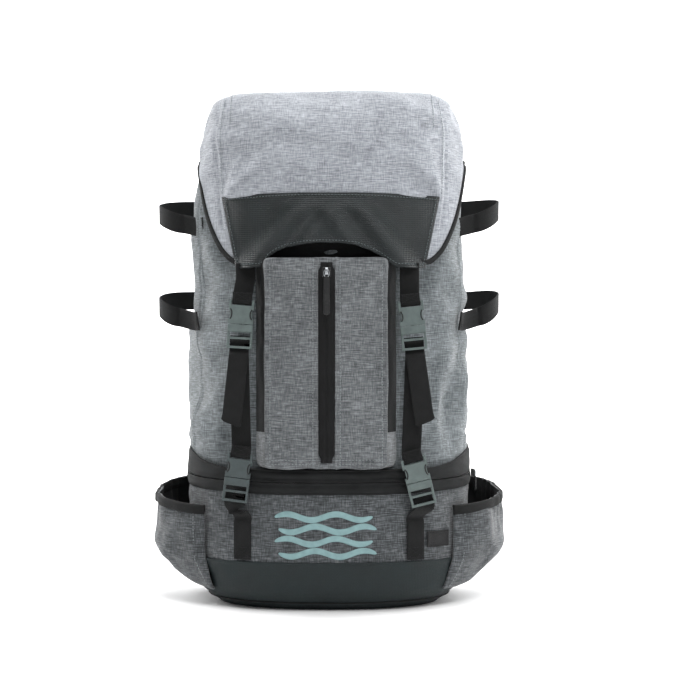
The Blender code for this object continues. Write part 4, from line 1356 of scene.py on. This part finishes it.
def side_pocket_points(side, along, up, out=0.0):
    """Points of a side pocket, from shares of the way along it and up it."""
    rim = SIDE_POCKET_RIM[0] + (SIDE_POCKET_RIM[1] - SIDE_POCKET_RIM[0]) * along
    z = SIDE_POCKET_FOOT + (rim - SIDE_POCKET_FOOT) * up
    angles = SIDE_POCKET_ANGLES[0] + (SIDE_POCKET_ANGLES[1] - SIDE_POCKET_ANGLES[0]) * along
    sizes = LOWER_AT(z) + 0.0034
    x, y = outline(angles, sizes)
    bulge = np.interp(z, SIDE_POCKET_BULGE[:, 0], SIDE_POCKET_BULGE[:, 1])
    x = x + (bulge + out) * np.sin(math.pi * np.clip(along, 1e-6, 1 - 1e-6)) ** 0.55
    return np.stack([side * x, y, z], -1)


def gathers(along, side):
    """The uneven ripple of a gathered rim, from shares of the way along it."""
    return np.sin(along * 58 + 2.2 * np.sin(along * 17 + side))


def make_side_pockets():
    """The two open pockets, gathered at their rims, with a wide dark binding."""
    for word, side in (("left", -1), ("right", 1)):
        along, up = np.meshgrid(np.linspace(0, 1, 96), np.linspace(0, 1, 62))
        points = side_pocket_points(side, along, up)
        depth = side * 0.0009 * gathers(along, side)
        points[..., 0] += depth * smooth_step(0.55, 0.95, up) * np.sin(math.pi * along)
        if side > 0:
            points = points[:, ::-1]
        pocket = grid_object("side_pocket_cloth_" + word, points[:, ::-1], MATERIALS["lower"])
        pins = np.zeros(along.shape)
        pins[:3] = 1
        pins[-3:] = 0.8
        pins[:, :2] = 1
        pins[:, -2:] = 1
        drape(pocket, pins, grow=0.03, pressure=2.0, cap=0.0040)
        settle(pocket, lambda w: 0.0009 * soft_noise(w, (0.02, 0.03, 0.022), 71), thickness=0.0018)
        attach(pocket, "lower_pack", "lower_cloth", "side_pocket_" + word)

        share = np.linspace(0.0, 1.0, 150)
        rim = side_pocket_points(side, share, np.full(150, 0.955), 0.0006)
        rim[:, 0] += side * 0.0009 * gathers(share, side) * np.sin(math.pi * share)
        band = swept("side_pocket_rim_" + word, evenly(rim, 0.0018), (0, 0, 1.0),
                     flat_section(0.0105, 0.0040), MATERIALS["binding"])
        attach(band, "lower_pack", "webbing", "pocket_binding_" + word)
        for place, share in (("front", 0.030), ("back", 0.970)):
            heights = np.linspace(0.04, 0.90, 60)
            path = side_pocket_points(side, np.full(60, share), heights, 0.0)
            normal = (side * 0.55, -0.8 if place == "front" else 0.4, 0)
            seam = stitches("side_pocket_seam_{}_{}".format(place, word), path, normal, "thread")
            attach(seam, "lower_pack", "lower_cloth")


def make_label():
    """A blank satin label with turned edges, stitched along its top and foot."""
    centre_x, centre_z, half_x, half_z = 0.114, 0.0735, 0.0118, 0.0083
    u, v = np.meshgrid(np.linspace(-1, 1, 41), np.linspace(-1, 1, 31))
    x, z = centre_x + half_x * u, centre_z + half_z * v
    hem = 0.00035 * np.clip(bump_of(np.abs(u), 0.88, 0.10)
                            + bump_of(np.abs(v), 0.85, 0.12), 0, 1)
    points = surface_path(LOWER_AT, x, z, 0.0022)
    points[..., 1] -= hem
    label = grid_object("blank_label", points, MATERIALS["label"])
    box_uv(label)
    thicken(label, 0.0007)
    attach(label, "lower_pack", "label_cloth", "woven_label")
    for word, sign in (("top", 1), ("foot", -1)):
        x = np.linspace(centre_x - half_x * 0.85, centre_x + half_x * 0.85, 30)
        path = surface_path(LOWER_AT, x, centre_z + sign * half_z * 0.84, 0.0026)
        seam = stitches("label_stitches_" + word, path, (0.3, -1, 0), "thread_dark", pitch=0.0018,
                        length=0.0012, radius=0.0002)
        attach(seam, "lower_pack", "label_cloth")


# ---------------------------------------------------------------- buckles

BUCKLES = {
    "upper_left": (-0.0910, -0.1130, 0.2965, 3.7),
    "upper_right": (0.0860, -0.1130, 0.2950, -5.5),
    "lower_left": (-0.0940, -0.1170, 0.1390, 7.6),
    "lower_right": (0.0920, -0.1170, 0.1350, -14.0),
}


def in_buckle(name, x, y, z):
    """A point given in a buckle's own frame."""
    bx, by, bz, lean = BUCKLES[name]
    matrix = Matrix.Translation((bx, by, bz)) @ Matrix.Rotation(math.radians(lean), 4, "Y")
    return matrix @ Vector((x, y, z))


def buckle_across(name):
    """The direction across a buckle."""
    return Matrix.Rotation(math.radians(BUCKLES[name][3]), 3, "Y") @ Vector((1, 0, 0))


def refined(node, material, slot, width=0.0006, segments=3):
    """A copy of a rigid frame part with rounded edges, riding on the same body."""
    source = frame["nodes"][node]
    mesh = source.data.copy()
    obj = bpy.data.objects.new(node + "_moulded", mesh)
    bpy.context.collection.objects.link(obj)
    bm = bmesh.new()
    bm.from_mesh(mesh)
    bmesh.ops.remove_doubles(bm, verts=bm.verts, dist=1e-6)
    bmesh.ops.dissolve_limit(bm, angle_limit=math.radians(2), verts=bm.verts, edges=bm.edges)
    bm.to_mesh(mesh)
    bm.free()
    mesh.materials.clear()
    mesh.materials.append(MATERIALS[material])
    bevel = obj.modifiers.new("Rounding", "BEVEL")
    bevel.width = width
    bevel.segments = segments
    bevel.limit_method = "ANGLE"
    bevel.angle_limit = math.radians(28)
    bevel.harden_normals = True
    apply_modifiers(obj)
    box_uv(obj)
    attach(obj, source["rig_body"], slot, node)
    return obj


def make_painted_notch_shades(name):
    """Painted shade: dark cords laid round a buckle's two thumb notches, standing in for the shade in the
    notches.
    """
    for side, sign in (("left", -1), ("right", 1)):
        path = []
        for angle in np.linspace(-1.15, 1.15, 15):
            x = sign * (0.0124 - 0.0030 * math.cos(angle))
            path.append(in_buckle(name, x, -0.0045, 0.0102 + 0.0052 * math.sin(angle) / math.sin(1.15)))
        edge = piping("{}_painted_notch_shade_{}".format(name, side), np.array([tuple(p) for p in path]),
                      0.0007, "pull", 0.0006)
        attach(edge, frame["nodes"][name + "_female"]["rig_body"], "buckle_plastic")


def make_buckles():
    """The four side-release buckles, rounded."""
    for name in BUCKLES:
        # Painted shade round each buckle's thumb notches.
        make_painted_notch_shades(name)
        # Painted shade: the lower-left buckle gets the darker copy of the buckle plastic.
        tone = "buckle_painted_shade" if name == "lower_left" else "buckle"
        refined(name + "_female", tone, "buckle_plastic", 0.0007)
        refined(name + "_male", tone, "buckle_plastic", 0.0005)
        for side in ("left", "right"):
            # Painted shade: the prongs get the darker copy of the buckle plastic, standing in for the shade
            # in the windows.
            refined("{}_prong_{}".format(name, side), "buckle_painted_shade", "buckle_plastic", 0.0004)


# ---------------------------------------------------------------- straps

def box_stitch(name, corners, normal, body):
    """A sewn box with a cross in it, given its corners in order."""
    corners = [np.array(c, dtype=float) for c in corners]
    runs = [(0, 1), (1, 2), (2, 3), (3, 0), (0, 2), (1, 3)]
    for index, (a, b) in enumerate(runs):
        path = corners[a] + (corners[b] - corners[a]) * np.linspace(0, 1, 24)[:, None]
        seam = stitches("{}_{}".format(name, index + 1), path, normal, "thread_dark", pitch=0.0021,
                        length=0.0015, radius=0.00022)
        if seam is not None:
            attach(seam, body, "webbing")


def looped_end(buckle):
    """A strap's end, folded back to front round a female half's top bar."""
    return [
        in_buckle(buckle, 0, y, z) for y, z in (
            (0.0033, 0.0300), (0.0033, 0.0235), (0.0024, 0.0212), (0.0, 0.0206),
            (-0.0024, 0.0212), (-0.0033, 0.0235), (-0.0033, 0.0330),
        )
    ]


# The stitched box on a webbing's loop, across and up in the buckle's own frame.
LOOP_STITCHES = ((-0.0078, 0.0245), (0.0078, 0.0245), (0.0078, 0.0320), (-0.0078, 0.0320))


def make_lid_straps():
    """Webbing from the panel's tabs down to the upper buckles."""
    for word, tab_x in (("left", -0.0865), ("right", 0.083)):
        buckle = "upper_" + word
        y = float(front_y(LID_AT, np.array(tab_x), np.array(0.354), LID_CENTRE_X)) - 0.0017
        points = [Vector((tab_x, y - 0.0002, 0.3600)), Vector((tab_x, y - 0.0002, 0.3536)),
                  Vector((tab_x, y - 0.0015, 0.343))]
        across = [(1, 0, 0)] * len(points)
        points += looped_end(buckle)
        across += [tuple(buckle_across(buckle))] * (len(points) - len(across))
        strap = webbing("lid_webbing_" + word, points, across)
        attach(strap, "lid", "webbing", "lid_strap_" + word)
        corners = [in_buckle(buckle, x, -0.0041, z) for x, z in LOOP_STITCHES]
        box_stitch("lid_webbing_box_" + word, corners, (0, -1, 0), "lid")


def make_main_straps():
    """Webbing between each side's two buckles."""
    for word in ("left", "right"):
        upper, lower = "upper_" + word, "lower_" + word
        points = [in_buckle(upper, 0, 0.0048, z) for z in (-0.012, -0.019, -0.0285)]
        across = [tuple(buckle_across(upper))] * len(points)
        start, end = points[-1], looped_end(lower)[0]
        for share in (0.25, 0.5, 0.75):
            middle = start.lerp(end, share)
            middle.y -= 0.0012 * math.sin(share * math.pi)
            points.append(middle)
            across.append(tuple(buckle_across(upper)))
        points += looped_end(lower)
        across += [tuple(buckle_across(lower))] * (len(points) - len(across))
        strap = webbing("main_webbing_" + word, points, across)
        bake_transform(strap)
        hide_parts("main_strap_" + word)
        corners = [in_buckle(lower, x, -0.0041, z) for x, z in LOOP_STITCHES]
        box_stitch("main_webbing_box_" + word, corners, (0, -1, 0), "upper_pack")


def make_strap_tails():
    """The loose ends, cut on a slant and rounded."""
    ends = {"left": (-0.1005, 0.191), "right": (0.0985, 0.192)}
    for word, (end_x, end_z) in ends.items():
        buckle = "upper_" + word
        points = [in_buckle(buckle, 0, y, z) for y, z in (
            (-0.0006, -0.0152), (0.0018, -0.0180), (0.0030, -0.0215), (0.0030, -0.0250),
            (0.0012, -0.0290), (-0.0028, -0.0345))]
        start = points[-1]
        for share in (0.25, 0.5, 0.75, 1.0):
            x = start.x + (end_x - start.x) * share
            z = start.z + (end_z - start.z) * share
            points.append(Vector((x, start.y - 0.007 * math.sin(share * math.pi / 2), z)))
        path = smooth_path(points, 0.0012)
        across = np.array(buckle_across(buckle))
        strap = swept("strap_end_" + word, path, across, flat_section(WEBBING_WIDTH, WEBBING_THICKNESS, 13),
                      MATERIALS["webbing"])
        slant_end(strap, path[-1], across, -1 if word == "left" else 1)
        attach(strap, buckle + "_catch", "webbing", "strap_tail_" + word)


def slant_end(obj, end, across, way):
    """Pull a strap's last points up on one side, so that it ends on a rounded slant."""
    for vertex in obj.data.vertices:
        drop = vertex.co.z - end[2]
        if drop < 0.014:
            off = float((np.array(vertex.co) - end) @ across) / (WEBBING_WIDTH / 2)
            lift = 0.0030 * (1 + way * off) + 0.0022 * max(0.0, abs(off) - 0.55) ** 2 / 0.2
            vertex.co.z += lift * (1 - max(drop, 0) / 0.014)


def make_lower_straps():
    """Webbing sewn down the tackle bay and held by the lower buckles."""
    for word, side in (("left", -1), ("right", 1)):
        buckle = "lower_" + word
        heights = np.array((0.0535, 0.060, 0.068, 0.076, 0.083, 0.091, 0.098))
        points = [Vector(p) for p in surface_path(LOWER_AT, side * 0.0895, heights, 0.0017)]
        x = np.array((side * 0.0885, side * 0.0905))
        slope = surface_path(LOWER_AT, x, 0.08, 0.0)
        flat = slope[1] - slope[0]
        across = [tuple(flat / np.linalg.norm(flat))] * len(points)
        bar = ((0.0027, -0.0272), (0.0027, -0.0200), (0.0024, -0.0155))
        points += [in_buckle(buckle, 0, y, z) for y, z in bar]
        across += [tuple(buckle_across(buckle))] * 3
        strap = webbing("bay_webbing_" + word, points, across)
        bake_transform(strap)
        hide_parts("lower_strap_" + word)
        corners = [surface_path(LOWER_AT, side * 0.0895 + dx, z, 0.0026)
                   for dx, z in ((-0.0075, 0.056), (0.0075, 0.056), (0.0075, 0.066), (-0.0075, 0.066))]
        box_stitch("bay_webbing_box_" + word, corners, (side * 0.3, -1, 0), "lower_pack")


LOOP_TIP_LIFT = {"left": 0.0, "right": 0.0045}


def make_rod_loops():
    """The webbing loops that hold rods on both sides."""
    for row, height in (("upper", 0.413), ("lower", 0.312)):
        root = float(MAIN_AT(np.array(height))[0]) + 0.0022
        for word, side in (("left", -1), ("right", 1)):
            points = []
            for angle in np.linspace(0, math.pi, 25):
                x = root + (0.1862 - root) * max(math.sin(angle), 0.0) ** 0.62
                y = 0.002 - 0.030 * math.cos(angle)
                front = smooth_step(math.pi / 2, 0, angle)
                lift = LOOP_TIP_LIFT[word] * math.sin(angle) - 0.0075 * front**2
                points.append((side * x, y, height + 0.22 * (y + 0.028) + lift))
            tab = wall(MAIN_AT, np.array([-0.42, -0.30]), np.full((1, 2), height - 0.011), 0.0030)[0]
            tab[:, 0] *= side
            points = np.vstack([tab, np.array(points)[1:]])
            lean = np.linspace(0.16, -0.10, len(points)) * side
            across = np.stack([lean, np.zeros(len(points)), np.ones(len(points))], -1)
            loop = webbing("rod_webbing_{}_{}".format(row, word), points, across, thickness=0.0015)
            attach(loop, "upper_pack", "webbing", "rod_loop_{}_{}".format(row, word))
            for place, point in (("front", points[0]), ("back", points[-1])):
                corners = [point + np.array((side * 0.0012, dy, dz)) for dy, dz in (
                    (-0.003, -0.0075), (0.003, -0.0075), (0.003, 0.0075), (-0.003, 0.0075))]
                box_stitch("rod_box_{}_{}_{}".format(row, word, place), corners, (side, 0, 0), "upper_pack")


# ---------------------------------------------------------------- sliders

def make_sliders():
    """The two zip sliders, the front slider's bridge and the two pull tabs."""
    refined("front_zip_slider", "pull", "slider_metal", 0.0015, 4)
    refined("lower_zip_slider", "pull", "slider_metal", 0.0011, 4)
    x = -0.0025
    arch = [(x, -0.1390, 0.3532), (x, -0.1408, 0.3528), (x, -0.1414, 0.3500), (x, -0.1408, 0.3468),
            (x, -0.1390, 0.3460)]
    bridge = swept("front_slider_bridge", smooth_path(arch, 0.0005), (1, 0, 0), flat_section(0.0030, 0.0009),
                   MATERIALS["metal"])
    attach(bridge, "front_zip_slider", "slider_metal")
    make_pull("front_zip_pull", (x, -0.14035, 0.3512), 0.0070, 0.0460, (1, 0, 0))
    make_pull("lower_zip_pull", (0.15815, -0.0300, 0.1406), 0.0070, 0.0225, (0, 1, 0))


def make_pull(name, top, width, length, across):
    """A moulded pull tab with a ring through its top and a ribbed grip."""
    across = np.array(across, dtype=float)
    out = np.array((0, -1.0, 0)) if across[0] else np.array((1.0, 0, 0))
    ring = []
    for angle in np.linspace(0, 2 * math.pi, 33):
        ring.append(np.array(top) + across * 0.0026 * math.sin(angle)
                    + np.array((0, 0, 1)) * (-0.0035 + 0.0040 * math.cos(angle)))
    loop = piping(name + "_ring", np.array(ring), 0.00062, "metal", 0.0006, closed=True)
    attach(loop, name, "slider_metal")
    rows = []
    share = np.linspace(0, 1, 46)
    for s in share:
        z = top[2] - 0.0060 - (length - 0.0060) * s
        end = min(s, 1 - s)
        half = width / 2 * min(1.0, math.sqrt(max(end, 0.0004) / 0.06)) * (0.86 + 0.14 * s)
        groove = 0.00018 * math.sin(s * 2 * math.pi * 9) * (0.30 < s < 0.85)
        depth = 0.0009 * min(1.0, math.sqrt(max(end, 0.002) / 0.03)) + groove
        turn = np.linspace(0, 2 * math.pi, 20, endpoint=False)
        row = [np.array((top[0], top[1], z)) + across * half * signed_power(np.cos(a), 0.6)
               + out * depth * signed_power(np.sin(a), 0.6) for a in turn]
        rows.append(row)
    points = np.array(rows)
    faces = grid_faces(len(points), 20, closed=True)
    faces.append(tuple(range(20))[::-1])
    faces.append(tuple((len(points) - 1) * 20 + c for c in range(20)))
    tab = polygon_object(name + "_tab", points, faces, MATERIALS["pull"])
    fix_normals(tab)
    box_uv(tab)
    attach(tab, name, "webbing", name)


def fix_normals(obj):
    """Turn a closed piece's faces outward."""
    bm = bmesh.new()
    bm.from_mesh(obj.data)
    bmesh.ops.recalc_face_normals(bm, faces=bm.faces)
    bm.to_mesh(obj.data)
    bm.free()


# ---------------------------------------------------------------- back

def puffed_pad(name, centre, across, out, half_widths, thickness, channels):
    """A closed crowned pad along a centre line, with channels pressed across it."""
    centre = np.asarray(centre, dtype=float)
    rows = len(centre)
    share = np.linspace(0, 1, rows)
    end = np.minimum(share, 1 - share) * np.linalg.norm(centre[-1] - centre[0])
    u = np.sin(np.linspace(-math.pi / 2, math.pi / 2, 27))
    crown = (1 - np.abs(u) ** 3.2) ** 0.5
    ends = np.sqrt(np.clip(end / 0.012, 0, 1))
    dips = np.ones(rows)
    for place, width in channels:
        dips -= 0.55 * bump_of(share, place, width)
    front, back = [], []
    for r in range(rows):
        half = half_widths[r] * (0.90 + 0.10 * ends[r])
        side = centre[r] + across[r] * (u[:, None] * half)
        rise = thickness / 2 * crown * ends[r]
        front.append(side + out[r] * (rise * dips[r])[:, None])
        back.append((side - out[r] * (rise * 0.8)[:, None])[::-1])
    points = np.concatenate([np.array(front), np.array(back)[:, 1:-1]], axis=1)
    count = points.shape[1]
    faces = grid_faces(rows, count, closed=True)
    faces.append(tuple(range(count))[::-1])
    faces.append(tuple((rows - 1) * count + c for c in range(count)))
    pad = polygon_object(name, points, faces, MATERIALS["mesh"])
    fix_normals(pad)
    return pad


def make_back():
    """The padded mesh back, its seams and the grab handle."""
    u, v = np.meshgrid(np.linspace(-1, 1, 120), np.linspace(-1, 1, 150))
    su, sv = squircle(u, v, 7)
    x, z = su * 0.1165, 0.3105 + sv * 0.143
    edge = np.clip(1 - np.maximum(np.abs(u), np.abs(v)) ** 10, 0, 1) ** 0.5
    depth = 0.0128 * edge
    for place in (-0.036, 0.036):
        depth -= 0.0052 * bump_of(x, place, 0.0045) * edge
    for place in (0.238, 0.310, 0.382):
        depth -= 0.0048 * bump_of(z, place, 0.0042) * edge * smooth_step(0.030, 0.042, np.abs(x))
    depth += 0.0008 * soft_noise(np.stack([x, np.zeros(x.shape), z], -1), (0.03, 0.03, 0.03), 81) * edge
    front = np.stack([x, 0.0905 + np.clip(depth, 0, 0.0130), z], -1)
    back = np.stack([x, np.full(x.shape, 0.0904), z], -1)
    rows, columns = x.shape
    faces = [f[::-1] for f in grid_faces(rows, columns)]
    offset = rows * columns
    faces += grid_faces(rows, columns, start=offset)
    ring = [c for c in range(columns)]
    ring += [r * columns + columns - 1 for r in range(1, rows)]
    ring += [(rows - 1) * columns + c for c in range(columns - 2, -1, -1)]
    ring += [r * columns for r in range(rows - 2, 0, -1)]
    count = len(ring)
    faces += [(ring[i], ring[(i + 1) % count], ring[(i + 1) % count] + offset, ring[i] + offset)
              for i in range(count)]
    points = np.concatenate([front.reshape(-1, 3), back.reshape(-1, 3)])
    pad = polygon_object("back_padding", points, faces, MATERIALS["mesh"])
    fix_normals(pad)
    box_uv(pad)
    attach(pad, "upper_pack", "padding", "back_panel")
    edge_path = np.array([front[r, c] for r, c in (divmod(i, columns) for i in ring)])
    edge_path = np.vstack([edge_path, edge_path[:1]])
    edge_path[:, 1] = 0.0925
    cord = piping("back_padding_piping", edge_path, 0.0015, "binding", closed=True)
    attach(cord, "upper_pack", "webbing")
    make_handle()


def make_handle():
    """The grab handle: folded webbing, box-stitched at both ends."""
    points = []
    for angle in np.linspace(0, math.pi, 31):
        x = -0.038 * signed_power(math.cos(angle), 0.7)
        points.append((x, 0.1045 + 0.0215 * max(math.sin(angle), 0) ** 0.8, 0.444))
    handle = webbing("handle_webbing", points, [(0, 0, 1)] * len(points), thickness=0.0024)
    attach(handle, "upper_pack", "webbing", "grab_handle")
    for word, sign in (("left", -1), ("right", 1)):
        corners = [(sign * 0.038 + dx, 0.1068, 0.444 + dz) for dx, dz in (
            (-0.003, -0.007), (0.003, -0.007), (0.003, 0.007), (-0.003, 0.007))]
        box_stitch("handle_box_" + word, corners, (0, 1, 0), "upper_pack")


def make_shoulder_straps():
    """Padded shoulder straps with bound edges, ladder locks and adjusting webbing."""
    for word, side in (("left", -1), ("right", 1)):
        line = [(side * x, y, z) for x, y, z in (
            (0.066, 0.1125, 0.452), (0.068, 0.1135, 0.410), (0.074, 0.1165, 0.350),
            (0.083, 0.1195, 0.290), (0.092, 0.1210, 0.245))]
        centre = smooth_path(line, 0.0022)
        share = np.linspace(0, 1, len(centre))
        half = np.interp(share, [0, 0.2, 0.5, 0.8, 1], [0.0250, 0.0278, 0.0280, 0.0260, 0.0200])
        _, across, out = frames_along(centre, (1, 0, 0))
        out = out * np.sign(out[:, 1:2])
        strap = puffed_pad("shoulder_pad_" + word, centre, across, out, half, 0.0105,
                           ((0.25, 0.012), (0.5, 0.012), (0.75, 0.012)))
        box_uv(strap)
        body = "carry_strap_" + word
        attach(strap, body, "padding", "shoulder_strap_" + word)
        left_edge = centre - across * half[:, None]
        right_edge = centre + across * half[:, None]
        ring = np.vstack([left_edge, right_edge[::-1], left_edge[:1]])
        cord = piping("shoulder_binding_" + word, ring, 0.0017, "binding", closed=True)
        attach(cord, body, "webbing")
        keeper = webbing("shoulder_lock_webbing_" + word, [
            (side * 0.0925, 0.1268, 0.262), (side * 0.0945, 0.1266, 0.248),
            (side * 0.0965, 0.1245, 0.2405), (side * 0.0965, 0.1212, 0.2385)], (1, 0, 0))
        attach(keeper, body, "webbing")
        refined("ladder_lock_" + word, "buckle", "buckle_plastic", 0.0006)
        points = [(side * 0.1290, 0.0880, 0.1580), (side * 0.1250, 0.0970, 0.1650),
                  (side * 0.1200, 0.1060, 0.1750), (side * 0.1140, 0.1120, 0.1900),
                  (side * 0.1010, 0.1250, 0.2120), (side * 0.0965, 0.1262, 0.2240),
                  (side * 0.0965, 0.1262, 0.2300)]
        lower = webbing("shoulder_adjuster_" + word, points, (1, 0, 0))
        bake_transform(lower)
        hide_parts("shoulder_webbing_" + word)


def make_hinge_cloth():
    """The cloth that joins the lid to the pack at the back."""
    x = np.linspace(-0.118, 0.118, 80)
    heights = np.linspace(0.450, 0.4795, 16)
    rows = []
    for height in heights:
        out = 0.0022 * math.sin((height - 0.450) / 0.0295 * math.pi) + 0.0010
        rows.append(np.stack([x, np.full(80, 0.0888 + out), np.full(80, height)], -1))
    cloth = grid_object("lid_hinge_cloth", np.array(rows)[:, ::-1], MATERIALS["lid"])
    box_uv(cloth)
    thicken(cloth, 0.0014)
    apply_modifiers(cloth)
    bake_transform(cloth)


def dress_kept_nodes():
    """Give the frame parts that stay their own materials."""
    for node in ("base_board", "frame_sheet"):
        mesh = frame["nodes"][node].data
        mesh.materials.clear()
        mesh.materials.append(MATERIALS["board"])


# ---------------------------------------------------------------- studio

CAMERA_PLACE = (0, -1.75, 0.27)
CAMERA_LENS = 81.8
CAMERA_SHIFT_X = 0.030
WORLD_STRENGTH = 0.38
SWEEP_HALF_WIDTH = 8.0


def studio_material():
    """Plain paper."""
    g = Graph("sweep_paper")
    grain = g.noise(g.stretched(object_at(g), (60, 60, 60)), 1.0, 3.0)
    colour = (0.96, 0.96, 0.96)
    tone = g.ramp(grain, ((0.3, tuple(c * 0.985 for c in colour)), (0.7, colour)))
    return g.finish(tone, 0.9, specular=0.2)


def make_studio():
    """A pale sweep, soft lights and the camera."""
    rows = []
    depth = [(-8.0, 0.0), (2.6, 0.0)]
    for angle in np.linspace(0, math.pi / 2, 14)[1:]:
        depth.append((2.6 + 0.8 * math.sin(angle), 0.8 * (1 - math.cos(angle))))
    depth.append((3.4, 5.0))
    for y, z in depth:
        rows.append([(-SWEEP_HALF_WIDTH, y, z), (SWEEP_HALF_WIDTH, y, z)])
    sweep = grid_object("sweep", np.array(rows), studio_material())

    def area(name, place, target, size, power):
        light = bpy.data.lights.new(name, "AREA")
        light.shape = "RECTANGLE"
        light.size, light.size_y = size
        light.energy = power
        obj = bpy.data.objects.new(name, light)
        obj.location = place
        obj.rotation_euler = (Vector(target) - Vector(place)).to_track_quat("-Z", "Y").to_euler()
        bpy.context.collection.objects.link(obj)

    area("key", (0.55, -1.5, 2.2), (0, 0, 0.36), (1.0, 0.8), 26)
    area("side", (1.9, -0.6, 0.9), (0, 0, 0.26), (0.8, 1.2), 6)
    area("top", (0.05, -0.25, 2.2), (0, 0, 0.40), (1.4, 0.8), 19)
    area("back", (-0.5, 2.0, 2.0), (0, 0, 0.30), (1.2, 1.0), 1)
    area("backdrop_left", (-2.2, 1.2, 1.9), (-0.8, 3.4, 0.8), (2.0, 2.0), 190)
    area("backdrop_right", (2.2, 1.2, 1.9), (0.8, 3.4, 0.8), (2.0, 2.0), 190)
    world = bpy.data.worlds.new("studio")
    world.use_nodes = True
    background = world.node_tree.nodes["Background"]
    background.inputs[0].default_value = (1, 1, 1, 1)
    background.inputs[1].default_value = WORLD_STRENGTH
    bpy.context.scene.world = world
    bpy.context.scene.view_settings.view_transform = "Standard"

    camera = bpy.data.cameras.new("camera")
    camera.lens = CAMERA_LENS
    camera.sensor_width = 36
    camera.shift_x = CAMERA_SHIFT_X
    obj = bpy.data.objects.new("camera", camera)
    obj.location = CAMERA_PLACE
    obj.rotation_euler = (math.pi / 2, 0, 0)
    bpy.context.collection.objects.link(obj)
    bpy.context.scene.camera = obj


def main():
    """Make every piece, then the studio round it."""
    make_lid()
    make_body()
    make_front_pocket()
    make_band()
    make_lower()
    make_side_pockets()
    make_label()
    make_buckles()
    make_lid_straps()
    make_main_straps()
    make_strap_tails()
    make_lower_straps()
    make_rod_loops()
    make_sliders()
    make_back()
    make_shoulder_straps()
    make_hinge_cloth()
    dress_kept_nodes()
    make_studio()


main()
